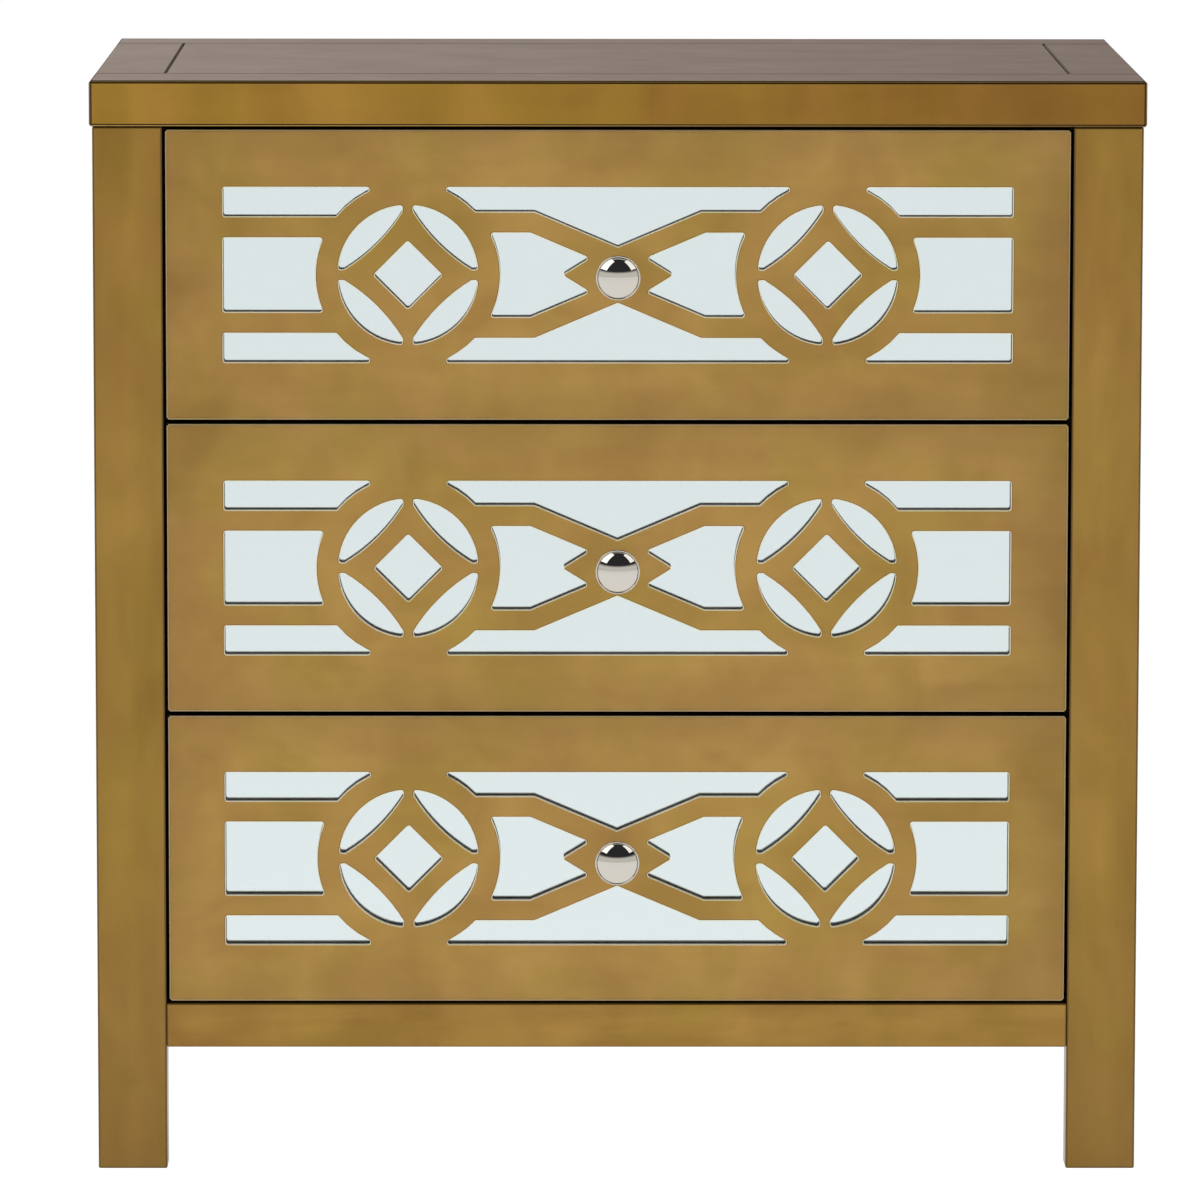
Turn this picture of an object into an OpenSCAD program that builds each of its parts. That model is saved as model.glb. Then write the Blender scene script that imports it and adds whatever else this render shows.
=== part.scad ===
// Three-drawer nightstand with mirrored fretwork drawer fronts.
// Frame: +Z up, +X to the right of someone facing the drawers, drawers open towards -Y.
// The origin is on the floor, in the middle of everything that the chest covers.

/* [Overall size] */
// Width across the top
top_w = 710; // [660:1:900]
// Depth of the top, front to back
top_d = 432; // [380:1:520]
// Height from the floor to the top
total_h = 742; // [700:1:820]

/* [Top] */
// Thickness of the top
top_t = 31; // [24:1:40]
// How far the top stands out past the legs on every side
top_overhang = 2; // [0.5:0.5:12]
// Width of each end board of the top
end_board_w = 48; // [30:1:80]
// Depth of the front board of the top
front_board_d = 70; // [62:1:90]
// Depth of the rear board of the top
rear_board_d = 54; // [46:1:80]
// Size of the chamfers that meet as a V at the seams of the top
seam_groove = 0.8; // [0.4:0.1:2]
// Size of the eased edges on the boards that show
edge_ease = 1.5; // [0.5:0.1:3]

/* [Legs and rails] */
// Size of the eased edges on the legs
leg_ease = 0.8; // [0.3:0.1:3]
// Width of a front leg, seen from the front
leg_w = 47; // [40:1:60]
// Depth of a front leg, front to back
leg_t = 25; // [22:1:32]
// Width of a rear leg, seen from the front, where a front leg hides it
rear_leg_w = 22; // [18:1:25]
// Depth of a rear leg, front to back
rear_leg_d = 47; // [42:1:55]
// Clear height under the bottom rails
foot_h = 84; // [50:1:110]
// Height of the bottom rails
rail_h = 30; // [24:1:50]
// Thickness of the bottom rails
rail_t = 25; // [18:1:25]
// Thickness of the divider rails and top stretchers
stretcher_t = 16; // [12:1:20]
// Depth of the divider rails and top stretchers, front to back
stretcher_d = 40; // [36:1:50]

/* [Panels] */
// Thickness of the side panels
side_t = 15; // [12:1:18]
// How far the side panels lie back from the faces of the legs
side_recess = 2; // [1:0.5:5]
// Thickness of the back panel
back_t = 5; // [3:0.5:8]
// How far the back panel lies in from the back of the legs
back_recess = 2; // [2:0.5:6]
// Thickness of the bottom panel
bottom_t = 9; // [6:1:12]
// Drop from the top of the bottom rails to the bottom panel
bottom_drop = 5; // [2:1:8]
// Leg length of the corner glue blocks
block_size = 38; // [25:1:60]

/* [Drawers] */
// Gap above the top drawer and below the bottom drawer
end_gap = 2; // [1.5:0.5:5]
// Gap between one drawer and the next
drawer_gap = 3; // [2:0.5:6]
// Gap between a drawer front and each leg
side_gap = 2; // [1.5:0.5:4]
// Thickness of the front board that carries the mirror
front_t = 13; // [12:1:18]
// Thickness of the drawer sides and back
box_t = 12; // [9:1:14]
// Height of the drawer box's lower edge above the lower edge of the front
box_lift = 12; // [11:1:20]
// Drop from the upper edge of the front to the upper edge of the box
box_drop = 32; // [24:1:60]
// Thickness of the drawer bottom
tray_t = 4; // [3:0.5:6]
// Height of the drawer bottom above the lower edge of the box
tray_lift = 10; // [6:1:20]
// Depth of the groove that holds the drawer bottom
groove_d = 5; // [3:0.5:5]

/* [Fretwork] */
// Thickness of the fretwork face
fret_t = 7; // [3:0.5:8]
// Solid border at the left and right of the windows
border_x = 38.5; // [30:0.5:60]
// Solid border above and below the windows
border_z = 38.8; // [30:0.1:45]
// Distance between the centres of the two rings
ring_spacing = 282.6; // [262:0.1:320]
// Width of a ring, inner edge to outer edge
ring_w = 15.3; // [10:0.1:20]
// Solid strip between a ring's opening and the border
ring_margin = 12; // [8:0.1:16]
// Width of the straps
strap_w = 14.4; // [8:0.1:18]
// Height of the long bars at the outer corners
outer_bar_h = 19.6; // [12:0.1:24]
// Height of the straight part of the middle windows
middle_bar_h = 16.3; // [10:0.1:22]
// Distance from the middle to the bend of the slanting straps
bend_x = 56; // [50:0.5:70]
// Solid margin between the knob and the middle windows
knob_margin = 4; // [1:0.1:6]
// Half width of the lozenge behind the knob
lozenge_half_w = 37.6; // [32:0.1:44]
// Half height of the lozenge behind the knob
lozenge_half_h = 23.3; // [22:0.1:30]
// Width of a leaf at its middle
leaf_w = 17.3; // [12:0.1:20]
// Radius of a leaf's inner edge
leaf_inner_r = 118; // [90:1:160]
// Solid bridge between the tips of two leaves
leaf_bridge = 7.4; // [4:0.1:10]
// Strap between a leaf and the square in the middle of a ring
square_strap = 13.5; // [8:0.1:15]
// Radius of the corners of the windows
window_r = 1.5; // [0.5:0.1:1.8]

/* [Mirror] */
// Thickness of the mirror glass
mirror_t = 3; // [2:0.5:4]
// How far the mirror reaches past the windows
mirror_lap = 8; // [5:0.5:12]
// Clearance round the mirror in its pocket
mirror_clearance = 0.3; // [0.2:0.1:1]
// Clearance round the knob bolt in the mirror
mirror_hole_gap = 2; // [1:0.5:4]

/* [Knob] */
// Diameter of the knob
knob_d = 30; // [26:0.5:32]
// How far the knob stands out from the drawer
knob_reach = 26; // [24:0.5:40]
// Diameter of the knob's foot
knob_foot_d = 17; // [12:0.5:22]
// Diameter of the knob's neck
knob_neck_d = 12; // [10:0.5:14]
// Height of the domed front of the knob's head
knob_dome_h = 7; // [6:0.5:12]
// Thickness of the rim round the knob's head
knob_rim_t = 1.8; // [1.2:0.1:3]
// Step between the rim and the dome of the knob's head
knob_step = 0.3; // [0.1:0.1:0.8]
// Size of the eased back edge of the knob's rim
knob_rim_ease = 0.8; // [0.2:0.1:1]
// How far the back of the knob's head slopes
knob_back_slope = 3; // [1:0.1:3]
// Thickness of the knob's foot
knob_foot_t = 1.2; // [0.8:0.1:2]
// Distance from the drawer to the end of the foot's cove
knob_cove_y = 3.5; // [2.5:0.1:4]

/* [Slides] */
// Step between the lengths in which slides are made
slide_step = 50; // [25:5:50]
// Least room behind the box of a closed drawer
rear_room = 10; // [5:1:30]
// Height of the slides
slide_h = 45; // [35:1:46]
// Thickness of a closed slide
slide_t = 12.7; // [12:0.1:14]
// Wall of the channels
channel_wall = 1.2; // [1:0.1:1.6]
// Running gap between two channels
channel_gap = 0.4; // [0.3:0.05:0.6]
// Setback of the slides from the back of the drawer front
slide_setback = 3; // [2:0.5:6]
// Height of the slide's middle above the lower edge of the box
slide_lift = 60; // [36:1:80]
// How much longer the box is than the slides
box_extra = 10; // [6:1:20]

/* [Fasteners] */
// Diameter of the wood screws
screw_d = 3.2; // [3:0.1:4]
// Diameter of the screw heads
screw_head_d = 6.6; // [6:0.1:7]
// Thickness of the round screw heads
screw_head_h = 1.8; // [1.5:0.1:2]
// Length of the screws that hold the top
top_screw_l = 35; // [30:1:38]
// Distance of the outer top screws from the side panels
top_screw_inset = 80; // [40:5:120]
// Length of the screws that hold the back panel
back_screw_l = 16; // [12:1:20]
// Distance of the outer back screws from the legs
back_screw_inset = 30; // [15:1:60]
// Number of screws along each edge of the back panel
back_screw_count = 4; // [3:1:6]
// Length of the screws that hold the slides
slide_screw_l = 14; // [10:1:16]
// Distance of these screws from the ends of the slides
slide_screw_inset = 40; // [20:5:80]
// Diameter of the dowels
dowel_d = 8; // [6:1:10]
// Length of the dowels
dowel_l = 30; // [20:2:40]
// Diameter of the knob bolt
bolt_d = 4; // [3:0.5:5]
// Diameter of the knob bolt's head
bolt_head_d = 9; // [7:0.5:12]
// Thickness of the knob bolt's head
bolt_head_h = 2.6; // [2:0.1:4]
// Thread of the knob bolt inside the knob
bolt_grip = 11; // [8:0.5:12]
// Clearance round screws, dowels and bolts in their holes
hole_clearance = 0.1; // [0.05:0.05:0.3]

/* [Hidden] */
DRAWERS = [1, 2, 3];
CASE_NODES = [
    "top_front_board", "top_rear_board", "top_left_end_board", "top_right_end_board", "top_panel",
    "front_left_leg", "front_right_leg", "rear_left_leg", "rear_right_leg",
    "left_side_panel", "right_side_panel", "back_panel", "bottom_panel",
    "front_bottom_rail", "rear_bottom_rail", "front_top_stretcher", "rear_top_stretcher",
    "upper_divider_rail", "lower_divider_rail", "corner_blocks", "slide_cleats",
    "rail_dowels", "top_screws", "back_screws", "slide_screws",
    "left_outer_channels", "right_outer_channels"
];
DRAWER_NODES = [
    "fretwork", "mirror", "front_board", "left_side", "right_side", "back", "bottom",
    "knob", "knob_bolt", "inner_channels", "middle_channels"
];

GOLD = "#a28047";
LEG_GOLD = "#967439";
MIRROR = "#dde6e6";
CHROME = "#c9ccd0";
ZINC = "#b9bdc2";
BIRCH = "#c8ab80";
PLYWOOD = "#a88459";
BEECH = "#c9a27a";
$fn = 48;

// Depths are counted from the faces of the front legs, and face_y is where those faces lie.
case_w = top_w - 2 * top_overhang;
case_d = top_d - 2 * top_overhang;
case_h = total_h - top_t;
face_y = knob_reach - (knob_reach + top_d - top_overhang) / 2;
leg_in_x = case_w / 2 - leg_w;
rear_in_x = case_w / 2 - rear_leg_w;
rear_leg_y = case_d - rear_leg_d;
panel_out_x = case_w / 2 - side_recess;
panel_in_x = panel_out_x - side_t;
back_y = case_d - back_recess - back_t;
bay_front_y = max(leg_t, rail_t);
bay_back_y = back_y - rail_t;
bottom_top = foot_h + rail_h - bottom_drop;
bottom_under = bottom_top - bottom_t;
front_w = 2 * (leg_in_x - side_gap);
opening_h = case_h - foot_h - rail_h;
front_h = (opening_h - 2 * end_gap - 2 * drawer_gap) / len(DRAWERS);
pitch = front_h + drawer_gap;
front_back_y = fret_t + front_t;
// The longest slides that fit, which is also how far a drawer opens.
slide_space = bay_back_y - front_back_y - box_extra - rear_room;
slide_l = slide_step * floor(slide_space / slide_step);
box_out_x = leg_in_x - slide_t;
box_in_x = box_out_x - box_t;
box_end_y = front_back_y + slide_l + box_extra;
slide_y = front_back_y + slide_setback;

// The window pattern is drawn round the middle of a drawer front.
field_w = front_w / 2 - border_x;
field_h = front_h / 2 - border_z;
ring_x = ring_spacing / 2;
ring_in_r = field_h - ring_margin;
ring_out_r = ring_in_r + ring_w;
apex_z = knob_d / 2 + knob_margin;
middle_z = field_h - middle_bar_h;
arrow_z = middle_z - strap_w;
outer_z = field_h - outer_bar_h;
side_z = outer_z - strap_w;
ARC_STEPS = 14;
SHORT_ARC_STEPS = 4;
LEAF_STEPS = 8;
CORNER_STEPS = 3;
DOME_STEPS = 16;
// How far a cut runs past the faces that it opens
CUT = 1;

// Lower edge of drawer n, where drawer 1 is at the top.
function drawer_z(n) = case_h - end_gap - front_h - (n - 1) * pitch;
function drawer_mid(n) = drawer_z(n) + front_h / 2;
function box_z(n) = drawer_z(n) + box_lift;
function box_top(n) = drawer_z(n) + front_h - box_drop;
function slide_z(n) = box_z(n) + slide_lift;

// A block given by its limits in X, its depths behind the leg faces and its limits in Z.
module board(x, y, z) {
    translate([x[0], face_y + y[0], z[0]]) cube([x[1] - x[0], y[1] - y[0], z[1] - z[0]]);
}

// The same limits, swapped to the other side of the chest.
function flip(x) = [-x[1], -x[0]];

// A rectangle with its corners cut at 45 degrees.
module cut_rectangle(a, b, e) {
    polygon([
        [a[0] + e, b[0]], [a[1] - e, b[0]], [a[1], b[0] + e], [a[1], b[1] - e],
        [a[1] - e, b[1]], [a[0] + e, b[1]], [a[0], b[1] - e], [a[0], b[0] + e]
    ]);
}

// A board whose twelve edges are eased.
module eased_board(x, y, z, e = edge_ease) {
    intersection() {
        translate([0, face_y, z[0]]) linear_extrude(z[1] - z[0]) cut_rectangle(x, y, e);
        translate([x[0], face_y, 0]) rotate([90, 0, 90])
            linear_extrude(x[1] - x[0]) cut_rectangle(y, z, e);
        translate([0, face_y + y[1], 0]) rotate([90, 0, 0])
            linear_extrude(y[1] - y[0]) cut_rectangle(x, z, e);
    }
}

// A round bar along +X, +Y or +Z from a point, for pins and for the holes they fit.
module bar_x(p, d, l) {
    translate([p[0], face_y + p[1], p[2]]) rotate([0, 90, 0]) cylinder(d = d, h = l);
}
module bar_y(p, d, l) {
    translate([p[0], face_y + p[1], p[2]]) rotate([-90, 0, 0]) cylinder(d = d, h = l);
}
module bar_z(p, d, l) {
    translate([p[0], face_y + p[1], p[2]]) cylinder(d = d, h = l);
}

// Places of the fasteners. A hole is the same bar with fit = 2 * hole_clearance.
hole_fit = 2 * hole_clearance;
top_screw_y = [leg_t + stretcher_d / 2, back_y - stretcher_d / 2];
top_screw_x = [for (k = [-1:1]) k * (panel_in_x - top_screw_inset)];
back_screw_x = [for (i = [0:back_screw_count - 1])
    (rear_in_x - back_screw_inset) * (2 * i / (back_screw_count - 1) - 1)];
back_screw_z = [foot_h + rail_h / 2, case_h - stretcher_t / 2];
dowel_z = [foot_h + rail_h / 4, foot_h + rail_h * 3 / 4];
dowel_places = [[leg_in_x, leg_t / 2], [rear_in_x, back_y - rail_t / 2]];
slide_screw_y = [slide_y + slide_screw_inset, slide_y + slide_l - slide_screw_inset];

module top_screw_bars(fit) {
    for (x = top_screw_x) for (y = top_screw_y)
        bar_z([x, y, case_h - stretcher_t], screw_d + fit, top_screw_l + fit);
}
module back_screw_bars(fit) {
    for (x = back_screw_x) for (z = back_screw_z)
        bar_y([x, case_d - back_recess - back_screw_l - fit, z], screw_d + fit, back_screw_l + fit);
}
module dowel_bars(fit) {
    for (side = [-1, 1]) for (p = dowel_places) for (z = dowel_z)
        bar_x([side * p[0] - dowel_l / 2 - fit / 2, p[1], z], dowel_d + fit, dowel_l + fit);
}
module slide_screw_bars(fit) {
    for (side = [0, 1]) mirror([side, 0, 0]) for (n = DRAWERS) for (y = slide_screw_y) {
        translate([leg_in_x - channel_wall, face_y + y, slide_z(n)]) rotate([0, 90, 0])
            cylinder(d1 = screw_head_d + fit, d2 = screw_d + fit, h = channel_wall);
        bar_x([leg_in_x, y, slide_z(n)], screw_d + fit, slide_screw_l + fit);
    }
}

// The whole top as one block with eased edges. The boards of the top are cut out of it.
module top_block() {
    eased_board([-top_w / 2, top_w / 2], [-top_overhang, top_d - top_overhang], [case_h, total_h]);
}
top_front_y = front_board_d - top_overhang;
top_rear_y = top_d - top_overhang - rear_board_d;
top_end_x = top_w / 2 - end_board_w;

// Chamfers on both sides of the seams of the top, in one piece with the shape of a V.
module v_groove(length) {
    g = seam_groove;
    rotate([90, 0, 90]) linear_extrude(length) polygon([[-g, 0], [0, -g], [g, 0], [g, CUT], [-g, CUT]]);
}
module seam_grooves() {
    for (y = [top_front_y, top_rear_y])
        translate([-top_w / 2 - CUT, face_y + y, total_h]) v_groove(top_w + 2 * CUT);
    for (x = [-top_end_x, top_end_x])
        translate([x, face_y + top_front_y, total_h]) rotate([0, 0, 90])
            v_groove(top_rear_y - top_front_y);
}
module top_piece(x, y) {
    difference() {
        intersection() {
            top_block();
            board(x, y, [case_h - CUT, total_h + CUT]);
        }
        seam_grooves();
        top_screw_bars(hole_fit);
    }
}
module top_front_board() {
    color(GOLD) top_piece([-top_w, top_w], [-top_d, top_front_y]);
}
module top_rear_board() {
    color(GOLD) top_piece([-top_w, top_w], [top_rear_y, 2 * top_d]);
}
module top_right_end_board() {
    color(GOLD) top_piece([top_end_x, top_w], [top_front_y, top_rear_y]);
}
module top_left_end_board() {
    color(GOLD) top_piece([-top_w, -top_end_x], [top_front_y, top_rear_y]);
}
module top_panel() {
    color(GOLD) top_piece([-top_end_x, top_end_x], [top_front_y, top_rear_y]);
}

// Legs stand at the corners, from the floor to the underside of the top. The rear legs are turned,
// with their narrow sides to the front.
module leg(side, in_x, y) {
    x = [in_x, case_w / 2];
    color(LEG_GOLD) difference() {
        eased_board(side > 0 ? x : flip(x), y, [0, case_h], leg_ease);
        dowel_bars(hole_fit);
    }
}
module front_left_leg() {
    leg(-1, leg_in_x, [0, leg_t]);
}
module front_right_leg() {
    leg(1, leg_in_x, [0, leg_t]);
}
module rear_left_leg() {
    leg(-1, rear_in_x, [rear_leg_y, case_d]);
}
module rear_right_leg() {
    leg(1, rear_in_x, [rear_leg_y, case_d]);
}

// Panels
module side_panel(side) {
    x = [panel_in_x, panel_out_x];
    color(LEG_GOLD) board(side > 0 ? x : flip(x), [leg_t, rear_leg_y], [foot_h, case_h]);
}
module left_side_panel() {
    side_panel(-1);
}
module right_side_panel() {
    side_panel(1);
}
module back_panel() {
    color(PLYWOOD) difference() {
        board([-rear_in_x, rear_in_x], [back_y, back_y + back_t], [foot_h, case_h]);
        back_screw_bars(hole_fit);
    }
}
module bottom_panel() {
    notch = [rear_in_x, case_w / 2];
    color(PLYWOOD) difference() {
        board([-panel_in_x, panel_in_x], [bay_front_y, bay_back_y], [bottom_under, bottom_top]);
        for (x = [notch, flip(notch)]) board(x, [rear_leg_y, case_d], [foot_h, case_h]);
    }
}

// Rails and stretchers
module front_bottom_rail() {
    color(GOLD) difference() {
        eased_board([-leg_in_x, leg_in_x], [0, rail_t], [foot_h, foot_h + rail_h], edge_ease / 2);
        dowel_bars(hole_fit);
    }
}
module rear_bottom_rail() {
    color(GOLD) difference() {
        board([-rear_in_x, rear_in_x], [bay_back_y, back_y], [foot_h, foot_h + rail_h]);
        dowel_bars(hole_fit);
        back_screw_bars(hole_fit);
    }
}
module front_top_stretcher() {
    color(BIRCH) difference() {
        board([-panel_in_x, panel_in_x], [leg_t, leg_t + stretcher_d], [case_h - stretcher_t, case_h]);
        top_screw_bars(hole_fit);
    }
}
module rear_top_stretcher() {
    color(BIRCH) difference() {
        board([-rear_in_x, rear_in_x], [back_y - stretcher_d, back_y], [case_h - stretcher_t, case_h]);
        top_screw_bars(hole_fit);
        back_screw_bars(hole_fit);
    }
}
module divider_rail(n) {
    mid = drawer_z(n) - drawer_gap / 2;
    z = [mid - stretcher_t / 2, mid + stretcher_t / 2];
    color(BIRCH) board([-panel_in_x, panel_in_x], [leg_t, leg_t + stretcher_d], z);
}
module upper_divider_rail() {
    divider_rail(1);
}
module lower_divider_rail() {
    divider_rail(2);
}

// Triangular glue blocks under the bottom panel, one in each corner of the case.
module corner_blocks() {
    s = block_size;
    color(BIRCH) for (side = [0, 1]) mirror([side, 0, 0]) {
        translate([panel_in_x, face_y + bay_front_y, foot_h])
            linear_extrude(bottom_under - foot_h) polygon([[0, 0], [0, s], [-s, 0]]);
        translate([rear_in_x, face_y + bay_back_y, foot_h])
            linear_extrude(bottom_under - foot_h) polygon([[0, 0], [-s, 0], [0, -s]]);
    }
}

// Packing cleats bring the slides flush with the inner faces of the legs.
module slide_cleats() {
    color(BIRCH) difference() {
        for (n = DRAWERS) for (x = [[leg_in_x, panel_in_x], [-panel_in_x, -leg_in_x]])
            board(x, [leg_t, rear_leg_y], [slide_z(n) - slide_h / 2, slide_z(n) + slide_h / 2]);
        slide_screw_bars(hole_fit);
    }
}

// Fasteners of the case
module rail_dowels() {
    color(BEECH) dowel_bars(0);
}
module top_screws() {
    color(ZINC) {
        top_screw_bars(0);
        for (x = top_screw_x) for (y = top_screw_y)
            bar_z([x, y, case_h - stretcher_t - screw_head_h], screw_head_d, screw_head_h);
    }
}
module back_screws() {
    color(ZINC) {
        back_screw_bars(0);
        for (x = back_screw_x) for (z = back_screw_z)
            bar_y([x, case_d - back_recess, z], screw_head_d, screw_head_h);
    }
}
module slide_screws() {
    color(ZINC) slide_screw_bars(0);
}

// A slide has three channels that nest with a running gap. u is the distance from the case side.
// from_case is true where the web is on the case side, and false where it is on the drawer side.
module channel(u, half_h, from_case, y, z) {
    w = channel_wall;
    web = from_case ? [u[0], u[0] + w] : [u[1] - w, u[1]];
    translate([leg_in_x, face_y + y + slide_l, z]) mirror([1, 0, 0]) rotate([90, 0, 0])
        linear_extrude(slide_l) polygon(from_case ? [
            [u[0], -half_h], [u[1], -half_h], [u[1], -half_h + w], [web[1], -half_h + w],
            [web[1], half_h - w], [u[1], half_h - w], [u[1], half_h], [u[0], half_h]
        ] : [
            [u[1], -half_h], [u[0], -half_h], [u[0], -half_h + w], [web[0], -half_h + w],
            [web[0], half_h - w], [u[0], half_h - w], [u[0], half_h], [u[1], half_h]
        ]);
}
middle_half_h = slide_h / 2 - channel_wall - channel_gap;
inner_half_h = middle_half_h - channel_wall - channel_gap;
middle_u = [channel_wall + channel_gap, slide_t - channel_wall - channel_gap];
inner_u = [middle_u[0] + channel_wall + channel_gap, slide_t];

module right_outer_channels() {
    color(ZINC) difference() {
        for (n = DRAWERS) channel([0, middle_u[1]], slide_h / 2, true, slide_y, slide_z(n));
        slide_screw_bars(hole_fit);
    }
}
module left_outer_channels() {
    mirror([1, 0, 0]) right_outer_channels();
}
module middle_channels(n) {
    color(ZINC) for (side = [0, 1]) mirror([side, 0, 0])
        channel(middle_u, middle_half_h, true, slide_y, slide_z(n));
}
module inner_channels(n) {
    color(ZINC) for (side = [0, 1]) mirror([side, 0, 0])
        channel(inner_u, inner_half_h, false, slide_y, slide_z(n));
}

// Window outlines are lists of [x, z, corner radius]. A point on a curve has radius 0.
function unit(v) = v / norm(v);
function xz(p) = [p[0], p[1]];
function corner(a, p, b, r) =
    let (
        ua = unit(a - p),
        ub = unit(b - p),
        half = acos(ua * ub) / 2,
        c = p + unit(ua + ub) * r / sin(half),
        t0 = p + ua * r / tan(half) - c,
        t1 = p + ub * r / tan(half) - c,
        a0 = atan2(t0[1], t0[0]),
        turn = atan2(t1[1], t1[0]) - a0,
        sweep = turn > 180 ? turn - 360 : turn < -180 ? turn + 360 : turn
    )
    [for (i = [0:CORNER_STEPS]) let (a = a0 + sweep * i / CORNER_STEPS) c + r * [cos(a), sin(a)]];
function rounded(pts) =
    let (n = len(pts))
    [for (i = [0:n - 1]) each pts[i][2] == 0
        ? [xz(pts[i])]
        : corner(xz(pts[(i + n - 1) % n]), xz(pts[i]), xz(pts[(i + 1) % n]), pts[i][2])];

// Points of an arc between two angles, without its two ends.
function arc(c, r, a0, a1, steps) =
    [for (i = [1:steps - 1])
        let (a = a0 + (a1 - a0) * i / steps)
        [c[0] + r * cos(a), c[1] + r * sin(a), 0]];
function on_arc(c, r, a) = [c[0] + r * cos(a), c[1] + r * sin(a), window_r];
function sharp(x, z) = [x, z, window_r];

// Long bar in the upper right corner, ending on the ring's outer edge.
function outer_bar() =
    let (a0 = asin(outer_z / ring_out_r), a1 = asin(field_h / ring_out_r), c = [ring_x, 0])
    concat(
        [sharp(field_w, outer_z), sharp(field_w, field_h), on_arc(c, ring_out_r, a1)],
        arc(c, ring_out_r, a1, a0, SHORT_ARC_STEPS),
        [on_arc(c, ring_out_r, a0)]
    );

// Window between the ring and the right-hand border.
function side_window() =
    let (a = asin(side_z / ring_out_r), c = [ring_x, 0])
    concat(
        [sharp(field_w, -side_z), sharp(field_w, side_z), on_arc(c, ring_out_r, a)],
        arc(c, ring_out_r, a, -a, ARC_STEPS),
        [on_arc(c, ring_out_r, -a)]
    );

// Upper middle window, from ring to ring, pointing down at the knob.
function middle_window() =
    let (a0 = 180 - asin(middle_z / ring_out_r), a1 = 180 - asin(field_h / ring_out_r))
    let (right = [ring_x, 0], left = [-ring_x, 0])
    concat(
        [sharp(bend_x, middle_z), on_arc(right, ring_out_r, a0)],
        arc(right, ring_out_r, a0, a1, SHORT_ARC_STEPS),
        [on_arc(right, ring_out_r, a1), on_arc(left, ring_out_r, 180 - a1)],
        arc(left, ring_out_r, 180 - a1, 180 - a0, SHORT_ARC_STEPS),
        [on_arc(left, ring_out_r, 180 - a0), sharp(-bend_x, middle_z), sharp(0, apex_z)]
    );

// Arrow window between the knob's lozenge and the right-hand ring.
slant = atan((middle_z - apex_z) / bend_x);
arrow_bend_x = bend_x + strap_w * tan(slant / 2);
arrow_zero_z = arrow_z - arrow_bend_x * tan(slant);
arrow_tip_x = (lozenge_half_h - arrow_zero_z) / (tan(slant) + lozenge_half_h / lozenge_half_w);
arrow_tip_z = arrow_zero_z + arrow_tip_x * tan(slant);
function arrow_window() =
    let (a = asin(arrow_z / ring_out_r), c = [ring_x, 0])
    concat(
        [sharp(lozenge_half_w, 0), sharp(arrow_tip_x, -arrow_tip_z), sharp(arrow_bend_x, -arrow_z)],
        [on_arc(c, ring_out_r, 180 + a)],
        arc(c, ring_out_r, 180 + a, 180 - a, ARC_STEPS),
        [on_arc(c, ring_out_r, 180 - a), sharp(arrow_bend_x, arrow_z), sharp(arrow_tip_x, arrow_tip_z)]
    );

// Leaf in the upper right quarter of a ring, drawn round the ring's middle.
function leaf() =
    let (
        b = leaf_bridge / 2,
        outer_a = asin(b / ring_in_r),
        inner_c = (ring_in_r - leaf_w + leaf_inner_r) / sqrt(2),
        inner_a = 180 + asin((inner_c - b) / leaf_inner_r)
    )
    let (mid = [inner_c, inner_c], inner_b = 450 - inner_a)
    concat(
        [on_arc([0, 0], ring_in_r, outer_a)],
        arc([0, 0], ring_in_r, outer_a, 90 - outer_a, ARC_STEPS),
        [on_arc([0, 0], ring_in_r, 90 - outer_a), on_arc(mid, leaf_inner_r, inner_b)],
        arc(mid, leaf_inner_r, inner_b, inner_a, LEAF_STEPS),
        [on_arc(mid, leaf_inner_r, inner_a)]
    );
function square_window() =
    let (d = (ring_in_r - leaf_w - square_strap) * sqrt(2))
    [sharp(d, 0), sharp(0, d), sharp(-d, 0), sharp(0, -d)];

module four_ways() {
    for (i = [0, 1]) for (j = [0, 1]) mirror([i, 0]) mirror([0, j]) children();
}
module window_pattern() {
    four_ways() polygon(rounded(outer_bar()));
    for (i = [0, 1]) mirror([i, 0]) {
        polygon(rounded(side_window()));
        polygon(rounded(arrow_window()));
        translate([ring_x, 0]) {
            four_ways() polygon(rounded(leaf()));
            polygon(rounded(square_window()));
        }
    }
    for (j = [0, 1]) mirror([0, j]) polygon(rounded(middle_window()));
}

// Something drawn round the middle of front n in X and Z, from depth y0 to depth y1.
module through_front(n, y0, y1) {
    translate([0, face_y + y1, drawer_mid(n)]) rotate([90, 0, 0]) linear_extrude(y1 - y0) children();
}
module front_hole(n, d) {
    bar_y([0, -knob_reach, drawer_mid(n)], d, knob_reach + front_back_y + bolt_head_h);
}

// The fretwork face. Its block is eased while it is as deep as the whole front, and then cut to
// the thickness of the fretwork, so that only the front edges are eased.
module fretwork(n) {
    x = front_w / 2;
    z = [drawer_z(n), drawer_z(n) + front_h];
    color(GOLD) difference() {
        intersection() {
            eased_board([-x, x], [0, front_back_y], z);
            board([-x, x], [0, fret_t], z);
        }
        through_front(n, -CUT, fret_t + CUT) window_pattern();
        front_hole(n, bolt_d + hole_fit);
    }
}
mirror_half_w = field_w + mirror_lap;
mirror_half_h = field_h + mirror_lap;
module mirror_plate(n, grow, y0, y1) {
    through_front(n, y0, y1)
        square([2 * (mirror_half_w + grow), 2 * (mirror_half_h + grow)], center = true);
}
module mirror_glass(n) {
    color(MIRROR) difference() {
        mirror_plate(n, 0, fret_t, fret_t + mirror_t);
        front_hole(n, bolt_d + 2 * mirror_hole_gap);
    }
}
module front_board(n) {
    x = front_w / 2;
    color(GOLD) difference() {
        board([-x, x], [fret_t, front_back_y], [drawer_z(n), drawer_z(n) + front_h]);
        mirror_plate(n, mirror_clearance, fret_t - CUT, fret_t + mirror_t + mirror_clearance);
        tray_groove(n);
        front_hole(n, bolt_d + hole_fit);
    }
}

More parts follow.
